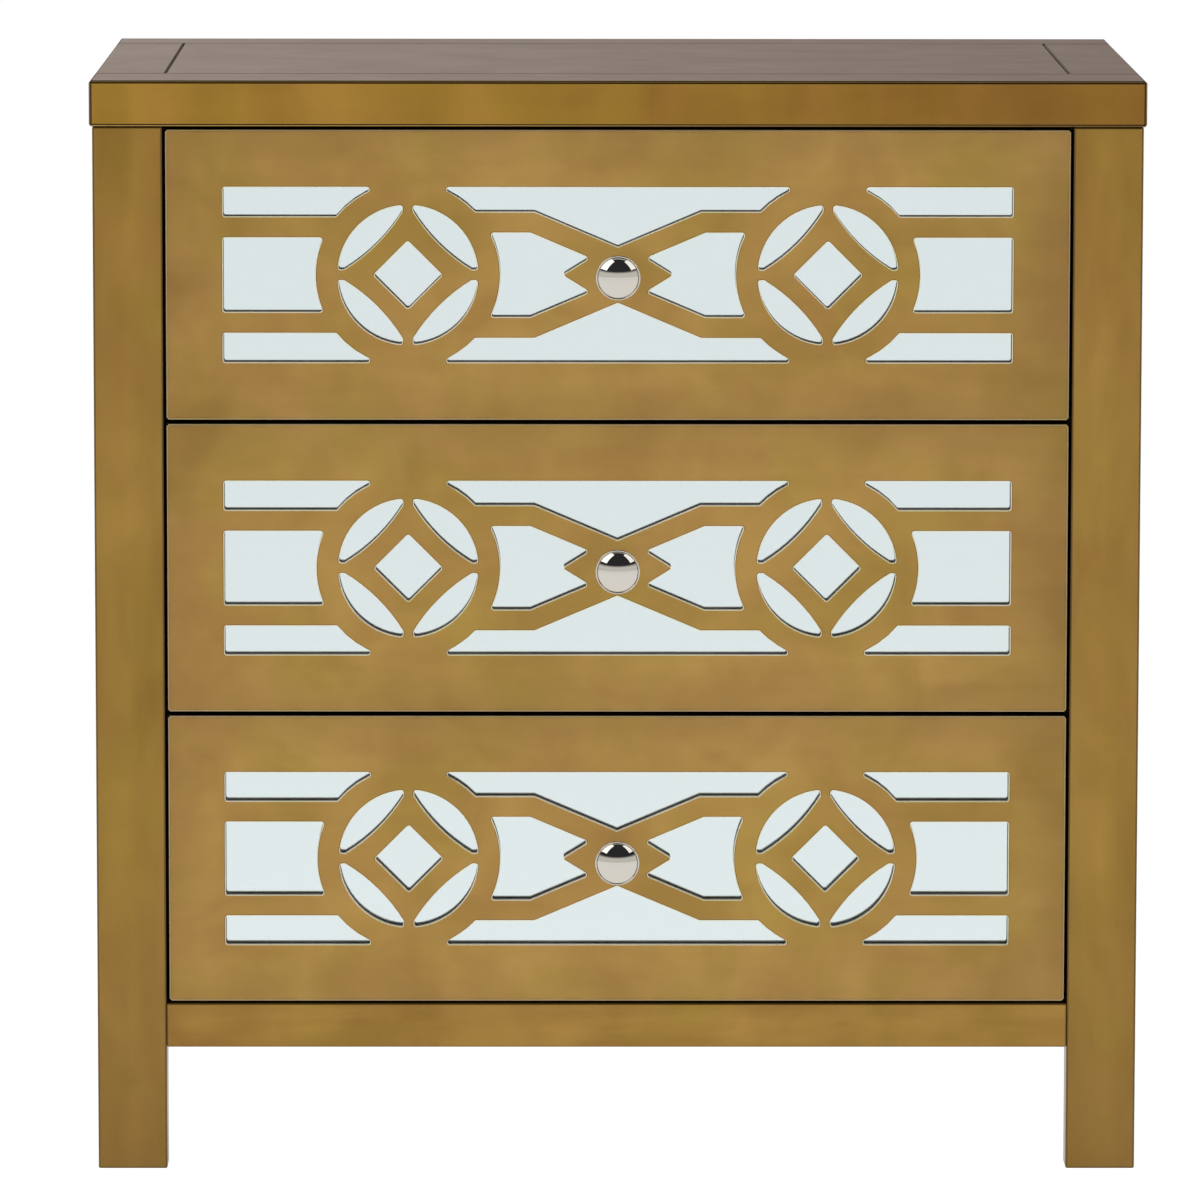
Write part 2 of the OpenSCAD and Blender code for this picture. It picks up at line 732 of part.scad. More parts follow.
// Drawer box
tray_clearance = 0.2;
tray_half_w = box_in_x + groove_d;
tray_y = front_back_y - groove_d;
module tray_groove(n) {
    low = box_z(n) + tray_lift;
    z = [low - tray_clearance, low + tray_t + tray_clearance];
    board([-tray_half_w, tray_half_w], [tray_y, box_end_y + CUT], z);
}
module box_side(n, side) {
    x = [box_in_x, box_out_x];
    color(BIRCH) difference() {
        board(side > 0 ? x : flip(x), [front_back_y, box_end_y], [box_z(n), box_top(n)]);
        tray_groove(n);
    }
}
module box_back(n) {
    z = box_z(n) + tray_lift + tray_t + tray_clearance;
    color(BIRCH) board([-box_in_x, box_in_x], [box_end_y - box_t, box_end_y], [z, box_top(n)]);
}
module box_bottom(n) {
    x = tray_half_w - tray_clearance;
    z = box_z(n) + tray_lift;
    color(PLYWOOD) board([-x, x], [tray_y + tray_clearance, box_end_y], [z, z + tray_t]);
}

// Knob, turned from one piece of metal, and the bolt that holds it from inside the drawer.
module knob(n) {
    r = knob_d / 2;
    foot = knob_foot_d / 2;
    neck = knob_neck_d / 2;
    rim_y = knob_reach - knob_dome_h;
    head_y = rim_y - knob_rim_t;
    slope_y = head_y - knob_back_slope;
    dome_r = r - knob_step;
    ball_r = (dome_r * dome_r + knob_dome_h * knob_dome_h) / (2 * knob_dome_h);
    ball_a = asin(dome_r / ball_r);
    color(CHROME) translate([0, face_y, drawer_mid(n)]) rotate([90, 0, 0]) difference() {
        rotate_extrude() polygon(concat(
            [[0, 0], [foot, 0], [foot, knob_foot_t], [neck, knob_cove_y], [neck, slope_y]],
            [[r - knob_rim_ease, head_y], [r, head_y + knob_rim_ease], [r, rim_y]],
            [for (i = [0:DOME_STEPS])
                let (a = ball_a * (1 - i / DOME_STEPS))
                [ball_r * sin(a), knob_reach - ball_r + ball_r * cos(a)]]
        ));
        translate([0, 0, -CUT]) cylinder(d = bolt_d + hole_fit, h = CUT + bolt_grip + hole_clearance);
    }
}
module knob_bolt(n) {
    color(ZINC) {
        bar_y([0, -bolt_grip, drawer_mid(n)], bolt_d, bolt_grip + front_back_y);
        bar_y([0, front_back_y, drawer_mid(n)], bolt_head_d, bolt_head_h);
    }
}

top_front_board();
top_rear_board();
top_left_end_board();
top_right_end_board();
top_panel();
front_left_leg();
front_right_leg();
rear_left_leg();
rear_right_leg();
left_side_panel();
right_side_panel();
back_panel();
bottom_panel();
front_bottom_rail();
rear_bottom_rail();
front_top_stretcher();
rear_top_stretcher();
upper_divider_rail();
lower_divider_rail();
corner_blocks();
slide_cleats();
rail_dowels();
top_screws();
back_screws();
slide_screws();
left_outer_channels();
right_outer_channels();
for (n = DRAWERS) {
    fretwork(n);
    mirror_glass(n);
    front_board(n);
    box_side(n, -1);
    box_side(n, 1);
    box_back(n);
    box_bottom(n);
    knob(n);
    knob_bolt(n);
    inner_channels(n);
    middle_channels(n);
}
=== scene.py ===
# %% [markdown]
# # A mirrored nightstand
# A bedside chest with three drawers. Its case and its drawer fronts are wood with a satin gold
# finish. Each front is a fretwork panel with a mirror behind its windows, and a polished metal
# knob in the middle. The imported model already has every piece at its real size, so this script
# adds what a camera sees: eased edges, finishes, real glass, turned knobs and proper screws.

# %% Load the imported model
import math

import bmesh
import bpy
from mathutils import Euler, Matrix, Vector
from mathutils.geometry import delaunay_2d_cdt


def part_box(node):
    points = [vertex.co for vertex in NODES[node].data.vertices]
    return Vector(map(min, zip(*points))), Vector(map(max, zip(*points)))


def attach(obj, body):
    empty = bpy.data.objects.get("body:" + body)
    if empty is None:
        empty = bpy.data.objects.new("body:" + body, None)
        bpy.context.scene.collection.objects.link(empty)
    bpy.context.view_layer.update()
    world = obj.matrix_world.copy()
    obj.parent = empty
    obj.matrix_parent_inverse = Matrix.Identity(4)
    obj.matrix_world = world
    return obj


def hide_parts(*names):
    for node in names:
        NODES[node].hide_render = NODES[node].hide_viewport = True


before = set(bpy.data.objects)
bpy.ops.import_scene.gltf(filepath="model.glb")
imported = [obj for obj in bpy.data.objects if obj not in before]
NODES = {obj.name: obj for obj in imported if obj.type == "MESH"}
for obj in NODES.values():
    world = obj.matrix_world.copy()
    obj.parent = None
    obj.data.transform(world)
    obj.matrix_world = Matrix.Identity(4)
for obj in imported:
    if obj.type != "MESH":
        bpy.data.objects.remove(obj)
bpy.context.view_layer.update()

MM = 0.001
DRAWERS = (1, 2, 3)
SCENE = bpy.context.scene


def link(name, data):
    """A new object in the scene for a mesh, a lamp or a camera."""
    made = bpy.data.objects.new(name, data)
    SCENE.collection.objects.link(made)
    return made


# %% [markdown]
# ## Camera
# A product picture like this one is taken from far away with a long lens, a little above the top,
# so the sides of the chest stay almost parallel. The place, the tilt and the lens were fitted to
# the corners of the top, the legs and the drawers. Nothing is shifted, so other views work too.

# %% Camera
CAMERA_PLACE = (-0.050, -5.9096, 1.1458)
CAMERA_DOWN = math.radians(7.5342)
CAMERA_RIGHT = math.radians(0.3835)
CAMERA_ROLL = math.radians(0.0746)
CAMERA_LENS = 255.58
SENSOR_WIDTH = 36.0


def make_camera():
    data = bpy.data.cameras.new("product_camera")
    data.lens = CAMERA_LENS
    data.sensor_width = SENSOR_WIDTH
    camera = link("product_camera", data)
    camera.location = CAMERA_PLACE
    heading = Euler((0.0, 0.0, -CAMERA_RIGHT)).to_matrix()
    tilt = Euler((math.pi / 2 - CAMERA_DOWN, 0.0, 0.0)).to_matrix()
    roll = Euler((0.0, 0.0, CAMERA_ROLL)).to_matrix()
    camera.rotation_euler = (heading @ tilt @ roll).to_euler()
    SCENE.camera = camera


make_camera()

# %% [markdown]
# ## Studio
# Mirrors and chrome show the room more than themselves, so the room matters. The floor is pale
# and glows a little, which keeps shadows soft and gives the mirrors their even, bright look. The
# room is light near the horizon and dark above it. Two large soft boxes and a narrow strip hang
# in the dark part. That gives the knobs a light lower half, a dark cap and bright patches on it.
# The top of the chest mirrors the wall behind it, and that wall is darker on the right.

# %% Studio helpers
def node_tree(owner):
    owner.use_nodes = True
    owner.node_tree.nodes.clear()
    return owner.node_tree


def add(tree, kind, inputs=(), **settings):
    """A new node. inputs maps a socket's name or number to a value or to another socket."""
    node = tree.nodes.new(kind)
    for key, value in settings.items():
        setattr(node, key, value)
    for key, value in dict(inputs).items():
        if isinstance(value, bpy.types.NodeSocket):
            tree.links.new(value, node.inputs[key])
        else:
            node.inputs[key].default_value = value
    return node


def blend(tree, factor, a, b, mode="MIX"):
    inputs = {0: factor, 6: a, 7: b}
    return add(tree, "ShaderNodeMix", inputs, data_type="RGBA", blend_type=mode).outputs[2]


# %% World
ROOM_FRONT = (0.80, 0.79, 0.765, 1.0)
ROOM_BACK_LEFT = (0.60, 0.525, 0.505, 1.0)
ROOM_BACK_RIGHT = (0.29, 0.25, 0.25, 1.0)
ROOM_DARK = (0.035, 0.035, 0.04, 1.0)
ROOM_EDGE = (math.sin(math.radians(13)), math.sin(math.radians(23)))
BACK_EDGE = (-0.2, 0.4)
SIDE_EDGE = (-0.16, 0.16)


def soft_step(tree, value, low, high):
    inputs = {"Value": value, "From Min": low, "From Max": high}
    return add(tree, "ShaderNodeMapRange", inputs, interpolation_type="SMOOTHSTEP").outputs[0]


def make_world():
    world = bpy.data.worlds.new("studio_room")
    SCENE.world = world
    tree = node_tree(world)
    direction = add(tree, "ShaderNodeTexCoord").outputs["Generated"]
    parts = add(tree, "ShaderNodeSeparateXYZ", {0: direction}).outputs
    behind = soft_step(tree, parts["Y"], *BACK_EDGE)
    above = soft_step(tree, parts["Z"], *ROOM_EDGE)
    side = soft_step(tree, parts["X"], *SIDE_EDGE)
    back = blend(tree, side, ROOM_BACK_LEFT, ROOM_BACK_RIGHT)
    wall = blend(tree, behind, ROOM_FRONT, back)
    room = blend(tree, above, wall, ROOM_DARK)
    background = add(tree, "ShaderNodeBackground", {"Color": room, "Strength": 1.0})
    add(tree, "ShaderNodeOutputWorld", {"Surface": background.outputs[0]})


make_world()

# %% Floor
FLOOR_REACH = 40.0
FLOOR_COLOUR = (0.22, 0.22, 0.22, 1.0)
FLOOR_GLOW = 0.98


def make_floor():
    mesh = bpy.data.meshes.new("floor")
    r = FLOOR_REACH
    mesh.from_pydata([(-r, -r, 0), (r, -r, 0), (r, r, 0), (-r, r, 0)], [], [(0, 1, 2, 3)])
    floor = link("floor", mesh)
    material = bpy.data.materials.new("floor_paper")
    tree = node_tree(material)
    shader = add(tree, "ShaderNodeBsdfPrincipled", {
        "Base Color": FLOOR_COLOUR, "Roughness": 0.9, "Specular IOR Level": 0.1,
        "Emission Color": (1.0, 1.0, 1.0, 1.0), "Emission Strength": FLOOR_GLOW,
    })
    add(tree, "ShaderNodeOutputMaterial", {"Surface": shader.outputs[0]})
    mesh.materials.append(material)


make_floor()

# %% Soft boxes
LIGHTS_AIM = Vector((0.0, 0.0, 0.4))


def soft_box(name, azimuth, elevation, distance, width, height, power):
    """A flat light that faces the chest. Azimuth 0 is in front, and 90 degrees is on the right."""
    a = math.radians(azimuth)
    e = math.radians(elevation)
    away = Vector((math.sin(a) * math.cos(e), -math.cos(a) * math.cos(e), math.sin(e)))
    data = bpy.data.lights.new(name, "AREA")
    data.shape = "RECTANGLE"
    data.size = width
    data.size_y = height
    data.energy = power
    lamp = link(name, data)
    lamp.location = LIGHTS_AIM + away * distance
    lamp.rotation_euler = away.to_track_quat("Z", "Y").to_euler()


soft_box("left_soft_box", -68, 48, 2.7, 2.0, 2.0, 23)
soft_box("right_soft_box", 73, 45, 2.7, 1.7, 1.7, 13)
soft_box("ceiling_strip", 0, 77, 2.4, 2.0, 0.45, 1.6)
SCENE.view_settings.view_transform = "Standard"

# %% [markdown]
# ## Shared surface effects
# Several finishes need the same few effects, so each effect is a node group with named inputs.
# Patterns use Object coordinates, because every piece keeps its place in its mesh.

# %% Group helpers
def new_tree(kind, name, inputs, outputs):
    """A node group. inputs and outputs are (socket name, socket type, default) rows."""
    tree = bpy.data.node_groups.new(name, kind)
    for direction, rows in (("INPUT", inputs), ("OUTPUT", outputs)):
        for row in rows:
            socket_type = "NodeSocket" + row[1]
            socket = tree.interface.new_socket(name=row[0], in_out=direction, socket_type=socket_type)
            if len(row) > 2:
                socket.default_value = row[2]
    return tree, add(tree, "NodeGroupInput").outputs, add(tree, "NodeGroupOutput").inputs


def noise(tree, vector, scale, detail=3.0, roughness=0.5, distortion=0.0):
    return add(tree, "ShaderNodeTexNoise", {
        "Vector": vector, "Scale": scale, "Detail": detail, "Roughness": roughness,
        "Distortion": distortion,
    }).outputs["Fac"]


def remap(tree, value, low, high, to_low=0.0, to_high=1.0):
    return add(tree, "ShaderNodeMapRange", {
        "Value": value, "From Min": low, "From Max": high, "To Min": to_low, "To Max": to_high,
    }).outputs[0]


def maths(tree, operation, a, b):
    return add(tree, "ShaderNodeMath", {0: a, 1: b}, operation=operation).outputs[0]


def vector_maths(tree, operation, a, b):
    return add(tree, "ShaderNodeVectorMath", {0: a, 1: b}, operation=operation).outputs[0]


# %% [markdown]
# ### Satin gold
# The gold is a metallic paint, wiped with a thin brown glaze and covered with satin lacquer. From
# a step away it is even, with soft cloudy patches two fingers wide, some browner and some more
# olive. Closer up there are faint streaks along each board, where the brush and the grain show
# through, and a fine metallic speckle. Height feeds a Bump node, and the rest drive the colour and
# the roughness.

# %% Satin gold group
def make_gold_group():
    group, given, result = new_tree(
        "ShaderNodeTree", "satin_gold",
        [("Vector", "Vector"), ("Stretch", "Vector"), ("Spread", "Vector"), ("Gold", "Color"),
         ("Glaze", "Color"), ("Olive", "Color"), ("Clouds", "Float", 0.4), ("Streaks", "Float", 0.3),
         ("Roughness", "Float", 0.42)],
        [("Color", "Color"), ("Roughness", "Float"), ("Height", "Float")],
    )
    along = vector_maths(group, "MULTIPLY", given["Vector"], given["Stretch"])
    wide = vector_maths(group, "MULTIPLY", given["Vector"], given["Spread"])
    clouds = remap(group, noise(group, wide, 17.0, 3.0, 0.5, 0.5), 0.34, 0.70)
    patches = remap(group, noise(group, wide, 11.0, 2.0, 0.5, 0.9), 0.42, 0.66)
    streaks = remap(group, noise(group, along, 75.0, 5.0, 0.6), 0.35, 0.75)
    fine = remap(group, noise(group, along, 420.0, 2.0, 0.5), 0.3, 0.7)
    speckle = remap(group, noise(group, given["Vector"], 2600.0, 1.0), 0.35, 0.65)
    lines = maths(group, "MULTIPLY", streaks, given["Streaks"])
    glazed = maths(group, "ADD", lines, maths(group, "MULTIPLY", clouds, given["Clouds"]))
    browned = blend(group, glazed, given["Gold"], given["Glaze"])
    tinted = blend(group, maths(group, "MULTIPLY", patches, 0.8), browned, given["Olive"], "MULTIPLY")
    glint = remap(group, speckle, 0.0, 1.0, 0.96, 1.04)
    bright = add(group, "ShaderNodeVectorMath", {0: tinted, "Scale": glint}, operation="SCALE")
    group.links.new(bright.outputs[0], result["Color"])
    rough = maths(group, "ADD", given["Roughness"], remap(group, clouds, 0.0, 1.0, -0.04, 0.04))
    group.links.new(rough, result["Roughness"])
    depth = maths(group, "MULTIPLY", fine, given["Streaks"])
    grit = remap(group, speckle, 0.0, 1.0, 0.0, 0.12)
    group.links.new(maths(group, "ADD", depth, grit), result["Height"])
    return group


GOLD_GROUP = make_gold_group()

# %% [markdown]
# ### Dark rims
# Every board is darker round its outline: strongly for the last few millimetres, and faintly for
# the last few centimetres. The mask needs the distance to the nearest rim. A point on a board lies on
# one of its faces, so the smallest of its three distances to the faces is nothing, and the middle one
# is the distance to the rim. The corners of each board's box come from two attributes.

# %% Glazed rim group
def make_rim_group():
    group, given, result = new_tree(
        "ShaderNodeTree", "dark_rim",
        [("Vector", "Vector"), ("Low", "Vector"), ("High", "Vector"), ("Reach", "Float", 0.003),
         ("Haze", "Float", 0.035), ("Haze Share", "Float", 0.2)],
        [("Rim", "Float")],
    )
    from_low = vector_maths(group, "SUBTRACT", given["Vector"], given["Low"])
    from_high = vector_maths(group, "SUBTRACT", given["High"], given["Vector"])
    nearest = vector_maths(group, "MINIMUM", from_low, from_high)
    x, y, z = add(group, "ShaderNodeSeparateXYZ", {0: nearest}).outputs
    larger = maths(group, "MINIMUM", maths(group, "MAXIMUM", x, y), z)
    middle = maths(group, "MAXIMUM", maths(group, "MINIMUM", x, y), larger)
    wander = remap(group, noise(group, given["Vector"], 60.0, 3.0), 0.3, 0.7, 0.6, 1.4)
    narrow = remap(group, middle, 0.0, maths(group, "MULTIPLY", given["Reach"], wander), 1.0, 0.0)
    broad = remap(group, middle, 0.0, maths(group, "MULTIPLY", given["Haze"], wander), 1.0, 0.0)
    haze = maths(group, "MULTIPLY", broad, given["Haze Share"])
    group.links.new(maths(group, "MAXIMUM", maths(group, "POWER", narrow, 1.5), haze), result["Rim"])
    return group


RIM_GROUP = make_rim_group()

# %% [markdown]
# ### Bare wood
# Inside the chest the wood is pale birch, thin plywood and beech. All three are the same effect
# with other colours: long fibres, broad bands of early and late wood, and small dark pores.

# %% Bare wood group
PORE_BROWN = (0.12, 0.065, 0.03, 1.0)


def make_wood_group():
    group, given, result = new_tree(
        "ShaderNodeTree", "bare_wood",
        [("Vector", "Vector"), ("Stretch", "Vector"), ("Light", "Color"), ("Dark", "Color"),
         ("Bands", "Float", 14.0), ("Pores", "Float", 0.35)],
        [("Color", "Color"), ("Roughness", "Float"), ("Height", "Float")],
    )
    along = vector_maths(group, "MULTIPLY", given["Vector"], given["Stretch"])
    swirl = add(group, "ShaderNodeTexNoise", {"Vector": along, "Scale": 3.0}).outputs["Color"]
    warped = vector_maths(group, "ADD", along, swirl)
    bands = remap(group, noise(group, warped, given["Bands"], 3.0, 0.55, 0.8), 0.3, 0.7)
    fibre = remap(group, noise(group, along, 260.0, 4.0, 0.65), 0.3, 0.75)
    pores = remap(group, noise(group, along, 700.0, 1.0), 0.62, 0.72)
    broad = remap(group, bands, 0.0, 1.0, 0.0, 0.65)
    tone = maths(group, "ADD", broad, remap(group, fibre, 0.0, 1.0, 0.0, 0.35))
    colour = blend(group, tone, given["Light"], given["Dark"])
    pored = blend(group, maths(group, "MULTIPLY", pores, given["Pores"]), colour, PORE_BROWN)
    group.links.new(pored, result["Color"])
    group.links.new(remap(group, fibre, 0.0, 1.0, 0.42, 0.56), result["Roughness"])
    ridges = remap(group, fibre, 0.0, 1.0, 0.0, 0.6)
    group.links.new(maths(group, "SUBTRACT", ridges, pores), result["Height"])
    return group


WOOD_GROUP = make_wood_group()

# %% [markdown]
# ### Handling marks
# Polished metal and glass are never perfectly clean. A few hair-thin scratches and soft smears
# change how sharp the reflections are, and nothing else.

# %% Handling marks group
HAIR_STRETCH = (1.0, 1.0, 22.0)


def make_marks_group():
    group, given, result = new_tree(
        "ShaderNodeTree", "handling_marks",
        [("Vector", "Vector"), ("Scale", "Float", 60.0), ("Roughness", "Float", 0.05),
         ("Smear", "Float", 0.04)],
        [("Roughness", "Float"), ("Height", "Float")],
    )
    smear = remap(group, noise(group, given["Vector"], given["Scale"], 3.0, 0.6, 0.5), 0.45, 0.75)
    drawn_out = vector_maths(group, "MULTIPLY", given["Vector"], HAIR_STRETCH)
    scratch = remap(group, noise(group, drawn_out, 130.0, 2.0, distortion=1.2), 0.71, 0.74)
    rough = maths(group, "ADD", given["Roughness"], maths(group, "MULTIPLY", smear, given["Smear"]))
    harsher = remap(group, scratch, 0.0, 1.0, 0.0, 0.05)
    group.links.new(maths(group, "ADD", rough, harsher), result["Roughness"])
    group.links.new(remap(group, scratch, 0.0, 1.0, 0.0, -1.0), result["Height"])
    return group


MARKS_GROUP = make_marks_group()

# %% [markdown]
# ## Materials
# Each finish below places one of the groups with its own values. A number that is the same all
# over the surface is set on the shader itself.

# %% Material helpers
ALONG_X = (0.12, 1.0, 1.0)
ALONG_Y = (1.0, 0.12, 1.0)
ALONG_Z = (1.0, 1.0, 0.12)


def start_material(name):
    material = bpy.data.materials.new(name)
    tree = node_tree(material)
    place = add(tree, "ShaderNodeTexCoord").outputs["Object"]
    return material, tree, place


def use_group(tree, group, inputs):
    return add(tree, "ShaderNodeGroup", inputs, node_tree=group).outputs


def finish_material(material, tree, shader_inputs, height=None, strength=0.0, depth=0.0):
    """Adds the shader and the output. strength and depth are those of the bumps that height makes."""
    shader = add(tree, "ShaderNodeBsdfPrincipled", shader_inputs)
    if height is not None:
        bump = add(tree, "ShaderNodeBump", {"Height": height, "Strength": strength, "Distance": depth})
        tree.links.new(bump.outputs[0], shader.inputs["Normal"])
    add(tree, "ShaderNodeOutputMaterial", {"Surface": shader.outputs[0]})
    return material


# %% Gold finishes
FIELD_GOLD = (0.500, 0.300, 0.080, 1.0)
CASE_GOLD = (0.420, 0.246, 0.054, 1.0)
SLAB_GOLD = (0.445, 0.248, 0.041, 1.0)
GLAZE_SHARE = (0.70, 0.62, 0.56)
OLIVE_SHARE = (0.90, 0.97, 0.74)
RIM_SHARE = (0.46, 0.45, 0.60)
EVEN = (1.0, 1.0, 1.0)
UPRIGHT = (1.3, 1.3, 0.5)


def toned(colour, share):
    return tuple(channel * part for channel, part in zip(colour[:3], share)) + (1.0,)


def gold_colours(gold, tone):
    base = toned(gold, (tone, tone, tone))
    return {"Gold": base, "Glaze": toned(base, GLAZE_SHARE), "Olive": OLIVE_SHARE + (1.0,)}


def corner_attribute(tree, name):
    return add(tree, "ShaderNodeAttribute", attribute_name=name).outputs["Vector"]


def gold_material(name, stretch, gold, tone=1.0, streaks=0.2, clouds=0.4, roughness=0.42, coat=0.12,
                  spread=EVEN, rim=None, painted_shades=(), metallic=0.6):
    """rim is how far the dark rim reaches. A painted shade darkens one end: (axis, start, full,
    colour).
    """
    material, tree, place = start_material(name)
    inputs = {"Vector": place, "Stretch": stretch, "Spread": spread, "Streaks": streaks,
              "Clouds": clouds, "Roughness": roughness}
    out = use_group(tree, GOLD_GROUP, {**inputs, **gold_colours(gold, tone)})
    colour = out["Color"]
    if rim:
        low = corner_attribute(tree, "low_corner")
        high = corner_attribute(tree, "high_corner")
        mask = use_group(tree, RIM_GROUP, {"Vector": place, "Low": low, "High": high, "Reach": rim})
        colour = blend(tree, mask["Rim"], colour, toned(gold, RIM_SHARE))
    for axis, start, full, tint in painted_shades:
        along = add(tree, "ShaderNodeSeparateXYZ", {0: place}).outputs[axis]
        colour = blend(tree, remap(tree, along, start, full), colour, tint, "MULTIPLY")
    return finish_material(material, tree, {
        "Base Color": colour, "Roughness": out["Roughness"], "Metallic": metallic,
        "Specular IOR Level": 0.2, "Coat Weight": coat, "Coat Roughness": 0.2, "Coat IOR": 1.5,
    }, out["Height"], 0.25, 0.12 * MM)


# Painted shade: the colour is darkened where less light falls. That is towards the feet and the heads
# of the legs, on the right of the top's face, and at the ends of the fronts and the rail.
FOOT_PAINTED_SHADE = ("Z", 0.22, 0.0, (0.75, 0.73, 0.75, 1.0))
HEAD_PAINTED_SHADE = ("Z", 0.55, 0.72, (0.94, 0.91, 0.80, 1.0))
SLAB_PAINTED_SHADE = ("X", -0.20, 0.34, (0.70, 0.62, 0.60, 1.0))
LEFT_END_PAINTED_SHADE = ("X", -0.22, -0.30, (0.91, 0.88, 0.87, 1.0))
RIGHT_END_PAINTED_SHADE = ("X", 0.20, 0.30, (0.87, 0.86, 0.86, 1.0))
GOLD_FRONT = gold_material("gold_drawer_front", ALONG_X, FIELD_GOLD, clouds=0.5, rim=3.0 * MM,
                           painted_shades=(LEFT_END_PAINTED_SHADE, RIGHT_END_PAINTED_SHADE))
GOLD_LEG = gold_material("gold_leg", ALONG_Z, CASE_GOLD, tone=1.03, clouds=0.6, coat=0.05,
                         spread=UPRIGHT, rim=2.4 * MM, painted_shades=(FOOT_PAINTED_SHADE, HEAD_PAINTED_SHADE))
GOLD_RAIL = gold_material("gold_rail", ALONG_X, CASE_GOLD, tone=1.15, streaks=0.55, clouds=0.6,
                          coat=0.08, rim=1.6 * MM, painted_shades=(LEFT_END_PAINTED_SHADE,))
GOLD_SIDE = gold_material("gold_side", ALONG_Z, CASE_GOLD, clouds=0.5, rim=4.0 * MM)
GOLD_SLAB = gold_material("gold_slab_face", ALONG_X, SLAB_GOLD, clouds=0.5, coat=0.05, spread=UPRIGHT,
                          painted_shades=(SLAB_PAINTED_SHADE,))
GOLD_TOP_X = gold_material("gold_top_long", ALONG_X, CASE_GOLD, streaks=0.5, coat=0.8)
GOLD_TOP_Y = gold_material("gold_top_end", ALONG_Y, CASE_GOLD, streaks=0.5, coat=0.8)

# %% Edge finishes
# Most edges are darker than the boards. The lower edge of the top is painted lighter: a painted
# highlight where it faces the bright floor. The faces inside the gaps are painted nearly black: a
# painted shade for the dark in the gaps. The edges of the windows are painted cream with no metal
# in it, a painted highlight where they catch the light, and the outer edges of the fretwork get a
# greyer tone of it, a painted sheen. The numbers after a colour are its tone, streaks, clouds,
# roughness and coat.
EDGE_PAINTED_HIGHLIGHT = gold_material("gold_edge_painted_highlight", ALONG_X, FIELD_GOLD, 1.15, 0.1, 0.2, 0.3, 0.5)
EDGE_DARK_AND_GAP_SHADE = gold_material("gold_dark_edge_and_gap_shade", ALONG_X, CASE_GOLD, 0.38, 0.3, 0.3, 0.35, 0.2)
EDGE_SOFT = gold_material("gold_soft_edge", ALONG_X, CASE_GOLD, 0.62, 0.3, 0.3, 0.35, 0.2)
GAP_PAINTED_SHADE = gold_material("gold_gap_painted_shade", ALONG_X, CASE_GOLD, 0.13, 0.3, 0.3, 0.6, 0.0)
SEAM_DARK = gold_material("gold_filled_seam", ALONG_X, CASE_GOLD, 0.05, 0.3, 0.3, 0.5, 0.0)
GLAZE_LINE = gold_material("gold_glaze_line", ALONG_X, FIELD_GOLD, 0.32, 0.3, 0.3, 0.55, 0.0)
# Painted highlight: a pale cream without metal stands in for the light that the window edges and
# reveals catch.
CREAM_PAINTED_HIGHLIGHT = (1.0, 0.90, 0.68, 1.0)
# Painted sheen: a flat grey stands in for the sheen on the rounded outer edges of the fretwork.
GREY_PAINTED_SHEEN = (0.50, 0.375, 0.21, 1.0)
EDGE_PAINTED_SHEEN = gold_material("grey_edge_painted_sheen", ALONG_X, GREY_PAINTED_SHEEN, 1.0, 0.1, 0.2, 0.5, 0.0,
                          metallic=0.0)
ARRIS_PAINTED_HIGHLIGHT = gold_material("cream_arris_painted_highlight", ALONG_X, CREAM_PAINTED_HIGHLIGHT, 1.0, 0.1, 0.2, 0.5, 0.0,
                           metallic=0.0)

# %% [markdown]
# The narrow walls of the windows are called reveals. The four or five millimetres nearest the glass
# are painted almost black, a painted shade for the corner between a reveal and the mirror, and the
# rest is painted pale, a painted highlight where the reveal catches the light. A mask on the depth
# into the drawer front draws that line.

# %% Reveals of the windows
GLASS_FACE_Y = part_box("drawer_1_mirror")[0].y
REVEAL_PAINTED_SHADE = (0.045, 0.027, 0.013, 1.0)
PAINTED_SHADE_DEPTH = 4.6 * MM
PAINTED_SHADE_FADE = 0.8 * MM
PAINTED_SHADE_WANDER = 0.3 * MM


def reveal_material():
    material, tree, place = start_material("gold_window_reveal")
    inputs = {"Vector": place, "Stretch": ALONG_X, "Spread": EVEN, "Streaks": 0.1, "Clouds": 0.3,
              "Roughness": 0.35}
    out = use_group(tree, GOLD_GROUP, {**inputs, **gold_colours(CREAM_PAINTED_HIGHLIGHT, 1.0)})
    depth = add(tree, "ShaderNodeSeparateXYZ", {0: place}).outputs["Y"]
    wander = remap(tree, noise(tree, place, 900.0, 2.0), 0.3, 0.7, -PAINTED_SHADE_WANDER, PAINTED_SHADE_WANDER)
    start = GLASS_FACE_Y - PAINTED_SHADE_DEPTH
    # The pale colour is a painted highlight, and the dark colour nearest the glass is a painted shade.
    painted_shade_mask = remap(tree, maths(tree, "ADD", depth, wander), start, start + PAINTED_SHADE_FADE)
    colour = blend(tree, painted_shade_mask, out["Color"], REVEAL_PAINTED_SHADE)
    return finish_material(material, tree, {
        "Base Color": colour, "Roughness": out["Roughness"], "Metallic": 0.0, "Specular IOR Level": 0.2,
    }, out["Height"], 0.2, 0.1 * MM)


REVEAL = reveal_material()

# %% Wood finishes
def wood_material(name, stretch, light, dark, bands=14.0, pores=0.35, coat=0.0):
    material, tree, place = start_material(name)
    out = use_group(tree, WOOD_GROUP, {
        "Vector": place, "Stretch": stretch, "Light": light, "Dark": dark, "Bands": bands,
        "Pores": pores,
    })
    return finish_material(material, tree, {
        "Base Color": out["Color"], "Roughness": out["Roughness"], "Coat Weight": coat,
        "Coat Roughness": 0.25,
    }, out["Height"], 0.3, 0.1 * MM)


